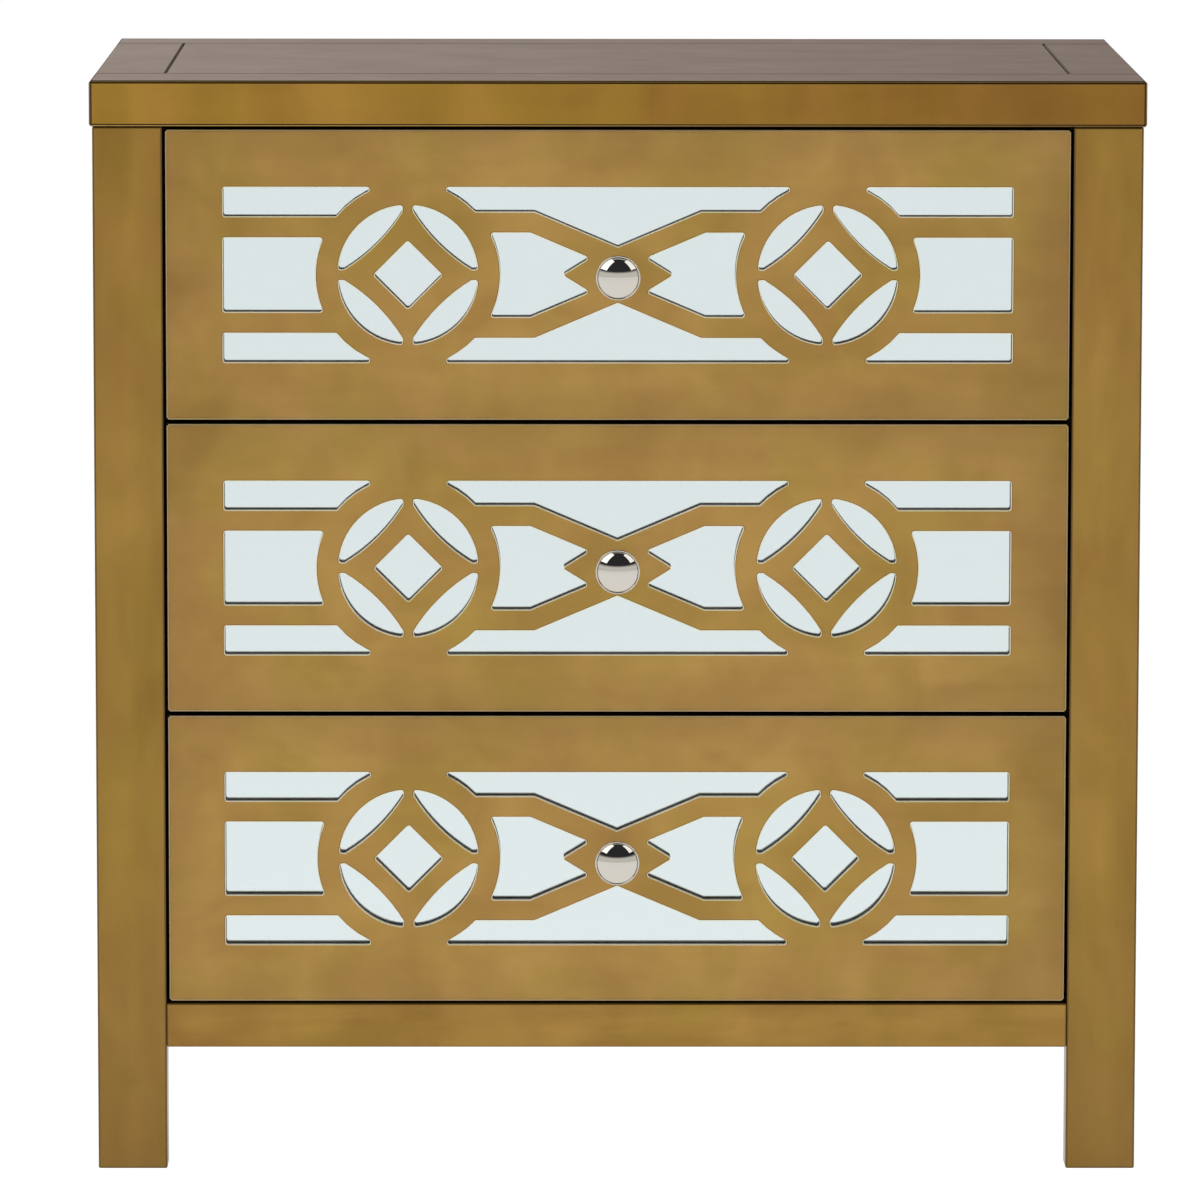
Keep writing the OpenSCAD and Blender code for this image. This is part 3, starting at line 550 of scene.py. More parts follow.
BIRCH_LIGHT, BIRCH_DARK = (0.66, 0.47, 0.27, 1.0), (0.48, 0.30, 0.145, 1.0)
PLY_LIGHT, PLY_DARK = (0.50, 0.33, 0.18, 1.0), (0.34, 0.20, 0.095, 1.0)
BEECH_LIGHT, BEECH_DARK = (0.60, 0.38, 0.22, 1.0), (0.46, 0.27, 0.14, 1.0)
BIRCH_X = wood_material("birch_long_x", ALONG_X, BIRCH_LIGHT, BIRCH_DARK, coat=0.3)
BIRCH_Y = wood_material("birch_long_y", ALONG_Y, BIRCH_LIGHT, BIRCH_DARK, coat=0.3)
PLYWOOD = wood_material("thin_plywood", ALONG_X, PLY_LIGHT, PLY_DARK, bands=9.0)
BEECH = wood_material("beech_dowel", ALONG_X, BEECH_LIGHT, BEECH_DARK, bands=30.0, pores=0.5)

# %% Metals
def metal_material(name, colour, roughness, smear, scale, bump):
    """smear is the roughness that the smears add, scale is how fine they are."""
    material, tree, place = start_material(name)
    out = use_group(tree, MARKS_GROUP, {
        "Vector": place, "Scale": scale, "Roughness": roughness, "Smear": smear,
    })
    return finish_material(material, tree, {
        "Base Color": colour, "Metallic": 1.0, "Roughness": out["Roughness"],
    }, out["Height"], bump, 0.02 * MM)


POLISHED = metal_material("polished_metal", (0.60, 0.575, 0.52, 1.0), 0.02, 0.02, 90.0, 0.03)
ZINC = metal_material("zinc_plate", (0.60, 0.61, 0.63, 1.0), 0.30, 0.16, 45.0, 0.15)
# Painted shade: a near-black steel for the front ends of the slides and bolts, which show only in the
# dark gaps.
STEEL_PAINTED_SHADE = metal_material("dark_steel_painted_shade", (0.018, 0.016, 0.014, 1.0), 0.5, 0.16, 45.0, 0.15)

# %% [markdown]
# ### Mirror
# A mirror is a sheet of glass with silver on its back, so what one sees is 3 mm behind the fret.
# That small step is why each window has a dark line along its lower edge: there the glass shows
# the unlit edge of the fret from behind. One mesh carries both materials, glass on the front and
# the rim, and silver on the back.

# %% Mirror materials
GLASS_TINT = (0.955, 0.99, 0.985, 1.0)
SILVER_TINT = (0.73, 0.775, 0.78, 1.0)


def glass_material():
    material, tree, place = start_material("clear_glass")
    marks = {"Vector": place, "Scale": 9.0, "Roughness": 0.0, "Smear": 0.008}
    rough = use_group(tree, MARKS_GROUP, marks)["Roughness"]
    return finish_material(material, tree, {
        "Base Color": GLASS_TINT, "Roughness": rough, "IOR": 1.5, "Transmission Weight": 1.0,
    })


def silver_material():
    material, tree, place = start_material("silvered_back")
    marks = {"Vector": place, "Scale": 5.0, "Roughness": 0.004, "Smear": 0.01}
    rough = use_group(tree, MARKS_GROUP, marks)["Roughness"]
    return finish_material(material, tree, {
        "Base Color": SILVER_TINT, "Metallic": 1.0, "Roughness": rough,
    })


GLASS = glass_material()
SILVER = silver_material()

# %% [markdown]
# ## Eased edges
# No board has a razor edge. The model's own pieces keep their meshes, and a stack of live
# modifiers finishes them. Weld joins the loose triangles. One small Geometry Nodes tree stores the
# corners of the piece's box for its dark rims. Two others pick faces by the way they point, and
# give them another of the piece's materials. Bevel rounds the edges that want it. The last tree
# sets smooth shading on curves and crisp shading on corners, and Weighted Normal keeps the broad
# faces perfectly flat.

# %% Trees that pick faces
# Each tree takes a shape and gives one back. The parts of a normal add up to 1 on a square face and
# to 1.41 on a chamfer.
SHAPE = ("Geometry", "Geometry")
SLANT_LIMIT = 1.2
AIM_TOLERANCE = 0.1


def pick_tree(name, inputs, test):
    """A tree that gives the faces for which test is true the material of a slot."""
    rows = [SHAPE, ("Slot", "Int", 1)] + inputs
    tree, given, result = new_tree("GeometryNodeTree", name, rows, [SHAPE])
    normal = add(tree, "GeometryNodeInputNormal").outputs["Normal"]
    chosen = test(tree, given, normal)
    marked = add(tree, "GeometryNodeSetMaterialIndex", {
        "Geometry": given["Geometry"], "Selection": chosen, "Material Index": given["Slot"],
    })
    tree.links.new(marked.outputs[0], result["Geometry"])
    return tree


def dot(tree, a, b):
    return add(tree, "ShaderNodeVectorMath", {0: a, 1: b}, operation="DOT_PRODUCT").outputs["Value"]


def is_slanted(tree, given, normal):
    size = add(tree, "ShaderNodeVectorMath", {0: normal}, operation="ABSOLUTE").outputs[0]
    return maths(tree, "GREATER_THAN", dot(tree, size, (1.0, 1.0, 1.0)), SLANT_LIMIT)


def faces_along(tree, given, normal):
    error = maths(tree, "SUBTRACT", dot(tree, normal, given["Direction"]), given["Wanted"])
    return maths(tree, "LESS_THAN", maths(tree, "ABSOLUTE", error, 0.0), AIM_TOLERANCE)


CHAMFER_TREE = pick_tree("pick_chamfers", [], is_slanted)
FACING_TREE = pick_tree("pick_facing", [("Direction", "Vector"), ("Wanted", "Float", 1.0)], faces_along)

# %% Tree that remembers the corners
def make_corner_tree():
    """Stores the corners of the piece's box on every point, for the dark rims."""
    tree, given, result = new_tree("GeometryNodeTree", "remember_corners", [SHAPE], [SHAPE])
    corners = add(tree, "GeometryNodeBoundBox", {"Geometry": given["Geometry"]}).outputs
    last = given["Geometry"]
    for name, corner in (("low_corner", "Min"), ("high_corner", "Max")):
        inputs = {"Geometry": last, "Name": name, "Value": corners[corner]}
        last = add(tree, "GeometryNodeStoreNamedAttribute", inputs,
                   data_type="FLOAT_VECTOR", domain="POINT").outputs[0]
    tree.links.new(last, result["Geometry"])
    return tree


CORNER_TREE = make_corner_tree()

# %% Smooth shading tree
SHARP_ANGLE = math.radians(28)
WELD_REACH = 0.00001


def make_shading_tree():
    rows = [SHAPE, ("Sharp Angle", "Float")]
    tree, given, result = new_tree("GeometryNodeTree", "shade_by_angle", rows, [SHAPE])
    plain = add(tree, "GeometryNodeRemoveAttribute", {
        "Geometry": given["Geometry"], "Name": "custom_normal",
    })
    smooth = add(tree, "GeometryNodeSetShadeSmooth", {
        "Geometry": plain.outputs[0], "Shade Smooth": True,
    })
    angle = add(tree, "GeometryNodeInputMeshEdgeAngle").outputs["Unsigned Angle"]
    sharp = maths(tree, "GREATER_THAN", angle, given["Sharp Angle"])
    crisp = add(tree, "GeometryNodeSetShadeSmooth", {
        "Geometry": smooth.outputs[0], "Selection": sharp, "Shade Smooth": False,
    }, domain="EDGE")
    tree.links.new(crisp.outputs[0], result["Geometry"])
    return tree


SHADING_TREE = make_shading_tree()

# %% The finishing stack
EASE_STEPS = 2
FLAT_WEIGHT = 90


def facing(x, y, z, wanted=1.0):
    """Picks the faces whose normal has the part wanted along x, y, z."""
    return FACING_TREE, {"Direction": (x, y, z), "Wanted": wanted}


CHAMFERS = (CHAMFER_TREE, {})
UPRIGHT_FACES = facing(0.0, 0.0, 1.0, 0.0)
LOWER_CHAMFERS = facing(0.0, 0.0, -1.0, math.sqrt(0.5))
FRONT_FACE = facing(0.0, -1.0, 0.0)
REAR_FACE = facing(0.0, 1.0, 0.0)
LEFT_FACE = facing(-1.0, 0.0, 0.0)
RIGHT_FACE = facing(1.0, 0.0, 0.0)


def add_tree(piece, tree, inputs):
    """A live Geometry Nodes modifier. It knows its inputs by the identifiers of their sockets."""
    modifier = piece.modifiers.new(tree.name, "NODES")
    modifier.node_group = tree
    sockets = {item.name: item.identifier for item in tree.interface.items_tree}
    for name, value in inputs.items():
        modifier[sockets[name]] = value


def finish_node(name, materials, picks=(), ease=0.0, ease_slot=0):
    """Gives a model piece its finishes, and rounds its edges by ease, in metres."""
    piece = NODES[name]
    piece.data.materials.clear()
    for material in materials:
        piece.data.materials.append(material)
    finish_piece(piece, picks, ease, ease_slot)


def finish_piece(piece, picks=(), ease=0.0, ease_slot=0):
    """Stacks the modifiers. Each pick gives some faces the material of a slot."""
    weld = piece.modifiers.new("join_triangles", "WELD")
    weld.merge_threshold = WELD_REACH
    add_tree(piece, CORNER_TREE, {})
    for (tree, inputs), slot in picks:
        add_tree(piece, tree, {**inputs, "Slot": slot})
    if ease > 0:
        bevel = piece.modifiers.new("eased_edges", "BEVEL")
        bevel.width = ease
        bevel.segments = EASE_STEPS
        bevel.limit_method = "ANGLE"
        bevel.angle_limit = SHARP_ANGLE
        bevel.use_clamp_overlap = False
        bevel.material = ease_slot
    add_tree(piece, SHADING_TREE, {"Sharp Angle": SHARP_ANGLE})
    flat = piece.modifiers.new("flat_faces", "WEIGHTED_NORMAL")
    flat.keep_sharp = True
    flat.weight = FLAT_WEIGHT


# %% The top
# The rounded edges are the seams between the boards. They are wider beside the end boards.
TOP_EASE = 0.5 * MM
TOP_END_EASE = 0.8 * MM
TOP_PICKS = [(UPRIGHT_FACES, 2), (CHAMFERS, 1), (LOWER_CHAMFERS, 3)]
TOP_EDGES = [EDGE_SOFT, GOLD_SLAB, EDGE_PAINTED_HIGHLIGHT, SEAM_DARK]
SEAM_SLOT = 4
for name in ("top_front_board", "top_rear_board", "top_panel"):
    finish_node(name, [GOLD_TOP_X] + TOP_EDGES, TOP_PICKS, TOP_EASE, SEAM_SLOT)
for name in ("top_left_end_board", "top_right_end_board"):
    finish_node(name, [GOLD_TOP_Y] + TOP_EDGES, TOP_PICKS, TOP_END_EASE, SEAM_SLOT)

# %% Legs, rails and sides
# The chamfers of the legs take the dark edge colour. So does the inner face of each leg, which looks
# into the gap beside the drawers, and there it is painted shade.
for corner in ("front_left", "front_right", "rear_left", "rear_right"):
    inner = RIGHT_FACE if "left" in corner else LEFT_FACE
    finish_node(corner + "_leg", [GOLD_LEG, EDGE_DARK_AND_GAP_SHADE], [(CHAMFERS, 1), (inner, 1)], 0.5 * MM, 1)
for name in ("front_bottom_rail", "rear_bottom_rail"):
    finish_node(name, [GOLD_RAIL, EDGE_SOFT], [(CHAMFERS, 1)], 0.3 * MM, 1)
finish_node("left_side_panel", [GOLD_SIDE, PLYWOOD], [(RIGHT_FACE, 1)], 0.6 * MM)
finish_node("right_side_panel", [GOLD_SIDE, PLYWOOD], [(LEFT_FACE, 1)], 0.6 * MM)

# %% Inside of the case
finish_node("back_panel", [PLYWOOD])
finish_node("bottom_panel", [PLYWOOD])
# The front faces of the rails and stretchers are painted nearly black: painted shade for the gaps
# between the drawers.
for name in ("front_top_stretcher", "rear_top_stretcher", "upper_divider_rail", "lower_divider_rail"):
    finish_node(name, [BIRCH_X, GAP_PAINTED_SHADE], [(FRONT_FACE, 1)], 0.5 * MM)
finish_node("corner_blocks", [BIRCH_X], ease=0.6 * MM)
finish_node("slide_cleats", [BIRCH_Y])
finish_node("rail_dowels", [BEECH])
# The front ends of the slides get the near-black steel, a painted shade for the gaps.
for name in ("left_outer_channels", "right_outer_channels"):
    finish_node(name, [ZINC, STEEL_PAINTED_SHADE], [(FRONT_FACE, 1)])

# %% Drawers
for n in DRAWERS:
    drawer = f"drawer_{n}_"
    # The edges of each front board are painted nearly black, a painted shade for the gaps. Its back is
    # birch.
    finish_node(drawer + "front_board", [GAP_PAINTED_SHADE, BIRCH_X], [(REAR_FACE, 1)])
    for side in ("left_side", "right_side"):
        finish_node(drawer + side, [BIRCH_Y], ease=0.8 * MM)
    finish_node(drawer + "back", [BIRCH_X], ease=0.8 * MM)
    finish_node(drawer + "bottom", [PLYWOOD])
    # The front ends get the near-black steel, a painted shade for the gaps.
    for name in ("inner_channels", "middle_channels", "knob_bolt"):
        finish_node(drawer + name, [ZINC, STEEL_PAINTED_SHADE], [(FRONT_FACE, 1)])

# %% [markdown]
# ## Fretwork
# A fretwork panel is sawn from one board, and then its edges are rounded over. Each panel is cut
# again here from the outlines of the model's own panel. An outline is walked as a loop of points
# with the wood on its left, and a step to the left gives the same outline further into the wood.
# Round every window this makes a small round, the wall down to the mirror and a thin line of glaze
# on the face, which the cloth took off along the lower edges. The rounds of the windows carry a
# painted highlight, the walls a painted highlight and a painted shade, the outer rounds a painted
# sheen, and the outer walls and the back a painted shade. The face itself is a flat sheet with many
# holes, and a constrained Delaunay triangulation fills such a sheet without slivers across the holes.

# %% Outlines of a panel
MERGE_ANGLE = math.radians(1)
MITRE_LIMIT = 0.5


def face_outwards(mesh):
    work = bmesh.new()
    work.from_mesh(mesh)
    bmesh.ops.recalc_face_normals(work, faces=work.faces)
    work.to_mesh(mesh)
    work.free()


def merged_copy(node):
    """The mesh of a model piece, with its triangles merged into whole faces."""
    work = bmesh.new()
    work.from_mesh(NODES[node].data)
    bmesh.ops.remove_doubles(work, verts=work.verts, dist=WELD_REACH)
    bmesh.ops.dissolve_limit(work, angle_limit=MERGE_ANGLE, verts=work.verts, edges=work.edges)
    return work


def area(loop):
    return sum(a.x * b.y - b.x * a.y for a, b in zip(loop, loop[1:] + loop[:1])) / 2


def outlines(node):
    """Loops of (x, z) points round the rear of a panel: the outer one first, wood on the left."""
    work = merged_copy(node)
    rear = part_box(node)[1].y - WELD_REACH
    flat = {face for face in work.faces if min(v.co.y for v in face.verts) > rear}
    waiting = [edge for edge in work.edges if len(flat.intersection(edge.link_faces)) == 1]
    loops = []
    while waiting:
        edge = waiting.pop()
        path = [edge.verts[0], edge.verts[1]]
        while path[-1] is not path[0]:
            edge = next(e for e in path[-1].link_edges if e in waiting)
            waiting.remove(edge)
            path.append(edge.other_vert(path[-1]))
        loops.append([Vector((v.co.x, v.co.z)) for v in path[:-1]])
    work.free()
    loops.sort(key=lambda loop: (-abs(area(loop)), loop[0].x, loop[0].y))
    return [loop if (area(loop) > 0) == (k == 0) else loop[::-1] for k, loop in enumerate(loops)]


def stepped(loop, distance):
    """The same loop, moved by distance to its left."""
    points = []
    for before, here, after in zip(loop[-1:] + loop[:-1], loop, loop[1:] + loop[:1]):
        first, second = (here - before).normalized(), (after - here).normalized()
        left = Vector((-first.y, first.x))
        middle = (left + Vector((-second.y, second.x))).normalized()
        points.append(here + middle * (distance / max(middle.dot(left), MITRE_LIMIT)))
    return points


# %% Cut the panels
# With the wood on its left, a loop runs towards -X along the lower edges of a window.
WINDOW_ROUND = 0.55 * MM
OUTER_ROUND = 0.8 * MM
LINE_WIDTH = 0.4 * MM
ROUND_STEPS = 4
LOWER_EDGE_RUN = -0.3
TRIANGLES_INSIDE = 1
JOIN_REACH = 1e-9
# The arris is a painted highlight, and the wall holds a painted highlight and a painted shade. The
# outer edge is a painted sheen, and the hidden faces are painted shade.
FRET_FINISHES = [GOLD_FRONT, GLAZE_LINE, ARRIS_PAINTED_HIGHLIGHT, REVEAL, EDGE_PAINTED_SHEEN, GAP_PAINTED_SHADE]
FACE, LINE, ARRIS, WALL, OUTER_EDGE, HIDDEN = range(len(FRET_FINISHES))


def rings_of(loop, outer, depth):
    """(step into the wood, depth, finish of the strip that follows) from the face to the back."""
    radius = OUTER_ROUND if outer else WINDOW_ROUND
    rows = [] if outer else [(radius + LINE_WIDTH, 0.0, LINE)]
    for k in range(ROUND_STEPS + 1):
        a = math.pi / 2 * k / ROUND_STEPS
        inwards, down = radius * (1 - math.sin(a)), radius * (1 - math.cos(a))
        rows.append((inwards, down, OUTER_EDGE if outer else ARRIS))
    rows[-1] = rows[-1][:2] + (HIDDEN if outer else WALL,)
    return rows + [(0.0, depth, None)]


def sheet_faces(loops):
    """Triangles between the first loop and the others, by the numbers of their points."""
    points, rounds = [], []
    for loop in loops:
        ids = list(range(len(points), len(points) + len(loop)))
        rounds.append(ids[::-1] if rounds else ids)
        points += loop
    _, _, triangles, old_points, _, owners = delaunay_2d_cdt(
        points, [], rounds, TRIANGLES_INSIDE, JOIN_REACH, True)
    old = [ids[0] for ids in old_points]
    return [tuple(old[i] for i in face) for face, owned_by in zip(triangles, owners)
            if list(owned_by) == [0]]


def make_fretwork(n):
    node = f"drawer_{n}_fretwork"
    front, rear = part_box(node)[0].y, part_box(node)[1].y
    points, faces, finishes, ends = [], [], [], ([], [])
    for number, loop in enumerate(outlines(node)):
        rows = rings_of(loop, number == 0, rear - front)
        rings = [stepped(loop, step) for step, depth, finish in rows]
        ends[0].append((len(points), rings[0]))
        for (step, depth, finish), ring in zip(rows, rings):
            here, size = len(points), len(loop)
            points += [(p.x, front + depth, p.y) for p in ring]
            for i in range(size if finish is not None else 0):
                j = (i + 1) % size
                faces.append((here + i, here + size + i, here + size + j, here + j))
                along = loop[j] - loop[i]
                lower_edge = along.x < LOWER_EDGE_RUN * along.length
                finishes.append(FACE if finish == LINE and lower_edge else finish)
        ends[1].append((here, rings[-1]))
    for side, finish in ((0, FACE), (1, HIDDEN)):
        places = [start + i for start, ring in ends[side] for i in range(len(ring))]
        for face in sheet_faces([ring for start, ring in ends[side]]):
            faces.append(tuple(places[i] for i in face))
            finishes.append(finish)
    mesh = bpy.data.meshes.new(f"drawer_{n}_sawn_fretwork")
    mesh.from_pydata(points, [], faces)
    mesh.polygons.foreach_set("material_index", finishes)
    for material in FRET_FINISHES:
        mesh.materials.append(material)
    face_outwards(mesh)
    piece = link(mesh.name, mesh)
    finish_piece(piece)
    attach(piece, f"drawer_{n}")
    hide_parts(node)
    return piece


for n in DRAWERS:
    panel = make_fretwork(n)
    print("fretwork:", panel.name, len(panel.data.polygons), "faces")

# %% [markdown]
# ## Mirrors
# Each mirror starts as a copy of the model's plain sheet, with its hole for the knob bolt. The
# copy's triangles are merged into whole faces, its arrises are ground, as on cut glass, and the
# face at the back gets the silver. The front face lies a hair behind the fretwork, because two
# faces in one plane would flicker.

# %% Build the mirrors
GLASS_GAP = 0.05 * MM
GLASS_GRIND = 0.4 * MM
GLASS_CORNER = math.radians(60)


def make_mirror(n):
    node = f"drawer_{n}_mirror"
    work = merged_copy(node)
    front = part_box(node)[0].y
    for vertex in work.verts:
        if vertex.co.y < front + GLASS_GAP:
            vertex.co.y = front + GLASS_GAP
    corners = [edge for edge in work.edges if edge.calc_face_angle(0.0) > GLASS_CORNER]
    bmesh.ops.bevel(work, geom=corners, offset=GLASS_GRIND, segments=2, affect="EDGES", profile=0.5)
    for face in work.faces:
        face.material_index = 1 if face.normal.y > 0.9 else 0
        face.smooth = False
    mesh = bpy.data.meshes.new(f"drawer_{n}_mirror_glass")
    mesh.materials.append(GLASS)
    mesh.materials.append(SILVER)
    work.to_mesh(mesh)
    work.free()
    piece = link(mesh.name, mesh)
    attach(piece, f"drawer_{n}")
    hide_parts(node)
    return piece


for n in DRAWERS:
    mirror = make_mirror(n)
    print("mirror:", mirror.name, len(mirror.data.polygons), "faces")

# %% [markdown]
# ## Knobs
# A knob is turned from one piece of metal and polished, so its mesh is turned as well: a profile
# from the foot to the crown, swept round in fine steps. The radius and the reach are those of the
# model's knob, so the knob keeps its size. A fine bead is rolled round the rim of the cap.

# %% Turn the knobs
# Every drop is measured from the foot of the cap towards the drawer.
KNOB_STEPS = 96
KNOB_FOOT = 8.5 * MM
FOOT_HEIGHT = 1.2 * MM
FOOT_EDGE = 0.2 * MM
KNOB_NECK = 6.0 * MM
NECK_DROP = 4.8 * MM
HEAD_DROP, HEAD_INSET = 2.0 * MM, 1.1 * MM
EDGE_DROP, EDGE_RISE = 1.0 * MM, 0.6 * MM
HEAD_EDGE = 0.4 * MM
KNOB_CAP = 7.0 * MM
CAP_SLOPE = math.radians(44)
KNOB_BEAD = 0.55 * MM
BEAD_TURN = math.radians(150)


def arc(count, start, stop):
    return [start + (stop - start) * i / count for i in range(count + 1)]


def knob_profile(radius, reach):
    """(radius, distance from the drawer) pairs from the foot to the crown."""
    cove = KNOB_FOOT - KNOB_NECK
    rim = radius - HEAD_EDGE
    cap_foot = reach - KNOB_CAP
    ball = (radius ** 2 + KNOB_CAP ** 2) / (2 * KNOB_CAP)
    rows = [(0.0, 0.0), (KNOB_FOOT - FOOT_EDGE, 0.0), (KNOB_FOOT, FOOT_EDGE), (KNOB_FOOT, FOOT_HEIGHT)]
    rows += [(KNOB_FOOT - cove * math.sin(a), FOOT_HEIGHT + cove * (1 - math.cos(a)))
             for a in arc(8, math.radians(8), math.pi / 2)]
    rows += [(KNOB_NECK, cap_foot - NECK_DROP), (radius - HEAD_INSET, cap_foot - HEAD_DROP)]
    rows += [(rim + HEAD_EDGE * math.sin(a), cap_foot - EDGE_DROP - EDGE_RISE * math.cos(a))
             for a in arc(5, math.radians(10), math.pi / 2)]
    rows += [(radius - KNOB_BEAD + KNOB_BEAD * math.cos(a), cap_foot + KNOB_BEAD * (1 + math.sin(a)))
             for a in arc(12, 0.0, BEAD_TURN)]
    rows += [(ball * math.sin(a), reach - ball + ball * math.cos(a))
             for a in arc(24, CAP_SLOPE, math.radians(2.5))]
    return rows + [(0.0, reach)]


def turn(name, rows, centre, steps):
    """A closed turned mesh whose axis runs towards -Y from centre."""
    mesh = bpy.data.meshes.new(name)
    angles = [2 * math.pi * i / steps for i in range(steps)]
    ring = [(math.cos(a), math.sin(a)) for a in angles]
    inner = rows[1:-1]
    points = [Vector((centre.x + r * c, centre.y - d, centre.z + r * s))
              for r, d in inner for c, s in ring]
    faces = []
    for k in range(len(inner) - 1):
        for i in range(steps):
            j = (i + 1) % steps
            faces.append((k * steps + i, k * steps + j, (k + 1) * steps + j, (k + 1) * steps + i))
    points += [centre - Vector((0, rows[0][1], 0)), centre - Vector((0, rows[-1][1], 0))]
    foot, crown, last = len(points) - 2, len(points) - 1, (len(inner) - 1) * steps
    for i in range(steps):
        j = (i + 1) % steps
        faces.append((foot, j, i))
        faces.append((crown, last + i, last + j))
    mesh.from_pydata(points, [], faces)
    face_outwards(mesh)
    mesh.shade_smooth()
    mesh.set_sharp_from_angle(angle=SHARP_ANGLE)
    return mesh


def make_knob(n):
    node = f"drawer_{n}_knob"
    low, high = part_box(node)
    radius, reach = (high.x - low.x) / 2, high.y - low.y
    centre = Vector(((low.x + high.x) / 2, high.y, (low.z + high.z) / 2))
    mesh = turn(f"drawer_{n}_turned_knob", knob_profile(radius, reach), centre, KNOB_STEPS)
    mesh.materials.append(POLISHED)
    piece = link(mesh.name, mesh)
    # The satin gold round a knob would turn its reflection into a dark smudge.
    piece.visible_glossy = False
    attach(piece, f"drawer_{n}")
    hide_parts(node)
    return piece


for n in DRAWERS:
    print("knob:", make_knob(n).name)

# %% [markdown]
# ## Screws
# The same few screws hold the top, the back panel and the slides, so one Geometry Nodes tree
# makes them. Its inputs are the sizes of one screw. It cuts a cross recess into the head with a
# Boolean, puts a copy on every point it is given, and turns each copy to that point's axis. The
# points and the widths of the heads come from the model's plain screws.

# %% Screw tree
# The recess is sized in shares of the head. With 28 segments no edge of a dome runs through a
# corner of its recess.
DOME_SEGMENTS = 28
RECESS_WING = 1.1
RECESS_SLOT = 0.26
RECESS_SHARE = 0.65
WASTE_SIZE = 20 * MM


def moved(tree, geometry, **places):
    return add(tree, "GeometryNodeTransform", {"Geometry": geometry, **places}).outputs[0]


def vector(tree, **parts):
    return add(tree, "ShaderNodeCombineXYZ", parts).outputs[0]


def round_head(tree, given):
    """A dome that stands on the surface: a ball, and the block to cut away below it."""
    ball = add(tree, "GeometryNodeMeshUVSphere", {
        "Segments": DOME_SEGMENTS, "Rings": 12, "Radius": 1.0,
    }).outputs["Mesh"]
    radius, height = given["Head Radius"], given["Head Height"]
    dome = moved(tree, ball, Scale=vector(tree, X=radius, Y=radius, Z=height))
    block = add(tree, "GeometryNodeMeshCube", {"Size": [WASTE_SIZE] * 3}).outputs["Mesh"]
    return dome, moved(tree, block, Translation=(0.0, 0.0, -WASTE_SIZE / 2)), height


def flat_head(tree, given):
    """A countersunk cone whose top is level with the surface."""
    cone = add(tree, "GeometryNodeMeshCone", {
        "Vertices": 32, "Radius Top": given["Head Radius"], "Radius Bottom": given["Shank Radius"],
        "Depth": given["Head Height"],
    }).outputs["Mesh"]
    drop = maths(tree, "MULTIPLY", given["Head Height"], -1.0)
    return moved(tree, cone, Translation=vector(tree, Z=drop)), None, 0.0


def make_screw_tree(name, head_shape):
    tree, given, result = new_tree("GeometryNodeTree", name, [
        SHAPE, ("Head Radius", "Float"), ("Head Height", "Float"), ("Shank Radius", "Float"),
        ("Length", "Float"), ("Recess Depth", "Float"), ("Metal", "Material"),
    ], [SHAPE])
    head, waste, top = head_shape(tree, given)
    wing = maths(tree, "MULTIPLY", given["Head Radius"], RECESS_WING)
    slot = maths(tree, "MULTIPLY", given["Head Radius"], RECESS_SLOT)
    tall = maths(tree, "MULTIPLY", given["Recess Depth"], 2.0)
    cut = add(tree, "GeometryNodeMeshBoolean", {"Mesh 1": head},
              operation="DIFFERENCE", solver="EXACT")
    for x, y in ((wing, slot), (slot, wing)):
        size = vector(tree, X=x, Y=y, Z=tall)
        bar = add(tree, "GeometryNodeMeshCube", {"Size": size}).outputs["Mesh"]
        tree.links.new(moved(tree, bar, Translation=vector(tree, Z=top)), cut.inputs["Mesh 2"])
    if waste is not None:
        tree.links.new(waste, cut.inputs["Mesh 2"])
    shank = add(tree, "GeometryNodeMeshCylinder", {
        "Vertices": 16, "Radius": given["Shank Radius"], "Depth": given["Length"],
    }).outputs["Mesh"]
    drop = maths(tree, "MULTIPLY", given["Length"], -0.5)
    screw = add(tree, "GeometryNodeJoinGeometry", {0: cut.outputs[0]})
    tree.links.new(moved(tree, shank, Translation=vector(tree, Z=drop)), screw.inputs[0])
    axis = add(tree, "GeometryNodeInputNamedAttribute", {"Name": "axis"}, data_type="FLOAT_VECTOR")
    turned = add(tree, "FunctionNodeAlignRotationToVector", {"Vector": axis.outputs[0]}, axis="Z")
    copies = add(tree, "GeometryNodeInstanceOnPoints", {
        "Points": given["Geometry"], "Instance": screw.outputs[0], "Rotation": turned.outputs[0],
    })
    solid = add(tree, "GeometryNodeRealizeInstances", {"Geometry": copies.outputs[0]})
    metal = add(tree, "GeometryNodeSetMaterial", {
        "Geometry": solid.outputs[0], "Material": given["Metal"],
    })
    tree.links.new(metal.outputs[0], result["Geometry"])
    return tree


ROUND_SCREW = make_screw_tree("round_head_screw", round_head)
FLAT_SCREW = make_screw_tree("flat_head_screw", flat_head)

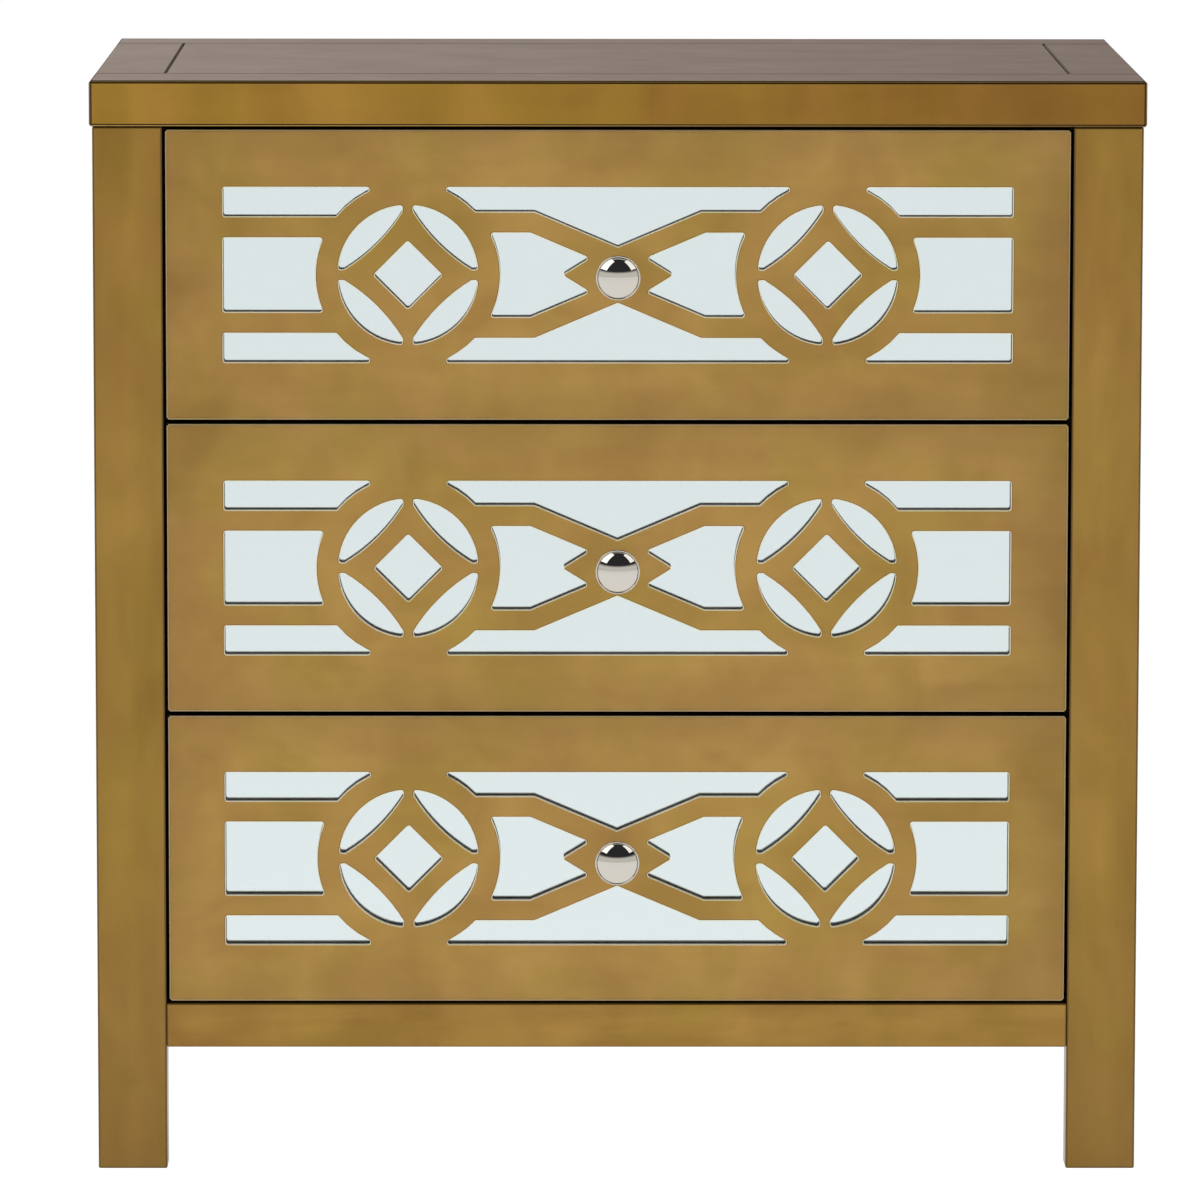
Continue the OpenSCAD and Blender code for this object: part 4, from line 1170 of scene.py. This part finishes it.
# %% Find the screws of the model
def loose_boxes(node):
    """The lowest and highest corner of every separate solid in a node."""
    work = bmesh.new()
    work.from_mesh(NODES[node].data)
    bmesh.ops.remove_doubles(work, verts=work.verts, dist=WELD_REACH)
    waiting = set(work.verts)
    boxes = []
    while waiting:
        group = [waiting.pop()]
        for vertex in group:
            near = {edge.other_vert(vertex) for edge in vertex.link_edges} & waiting
            waiting -= near
            group.extend(near)
        boxes.append((Vector(min(v.co[i] for v in group) for i in range(3)),
                      Vector(max(v.co[i] for v in group) for i in range(3))))
    work.free()
    return sorted(boxes, key=lambda box: tuple(box[0]))


for name in ("top_screws", "back_screws", "slide_screws"):
    print(name, len(loose_boxes(name)))

# %% Make the screws
SHANK_RADIUS = 1.6 * MM
HEAD_HEIGHT = 1.8 * MM
SINK_DEPTH = 1.2 * MM


def make_screws(node, tree, axis_of, head_height, sunk):
    """Real screws in the place of a node of plain ones. axis_of gives a screw's outward axis."""
    raised = 0.0 if sunk else head_height
    points, axes = [], []
    for low, high in loose_boxes(node):
        middle = (low + high) / 2
        axis = axis_of(middle)
        reach = abs((high - low).dot(axis)) / 2
        points.append(middle + axis * (reach - raised))
        axes.append(axis)
    across = next(i for i in range(3) if abs(axes[0][i]) < 0.5)
    head_radius = (high[across] - low[across]) / 2
    mesh = bpy.data.meshes.new(node + "_places")
    mesh.from_pydata(points, [], [])
    stored = mesh.attributes.new("axis", "FLOAT_VECTOR", "POINT").data
    stored.foreach_set("vector", [part for axis in axes for part in axis])
    seed = link(node + "_places", mesh)
    add_tree(seed, tree, {
        "Head Radius": head_radius, "Head Height": head_height, "Shank Radius": SHANK_RADIUS,
        "Length": 2 * reach - raised, "Recess Depth": RECESS_SHARE * head_height, "Metal": ZINC,
    })
    shown = bpy.data.meshes.new_from_object(seed.evaluated_get(bpy.context.evaluated_depsgraph_get()))
    bpy.data.objects.remove(seed)
    shown.name = node + "_with_recesses"
    shown.shade_smooth()
    shown.set_sharp_from_angle(angle=SHARP_ANGLE)
    piece = link(shown.name, shown)
    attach(piece, "case")
    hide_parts(node)
    return piece


def to_the_middle(place):
    return Vector((-math.copysign(1, place.x), 0, 0))


make_screws("top_screws", ROUND_SCREW, lambda place: Vector((0, 0, -1)), HEAD_HEIGHT, False)
make_screws("back_screws", ROUND_SCREW, lambda place: Vector((0, 1, 0)), HEAD_HEIGHT, False)
make_screws("slide_screws", FLAT_SCREW, to_the_middle, SINK_DEPTH, True)
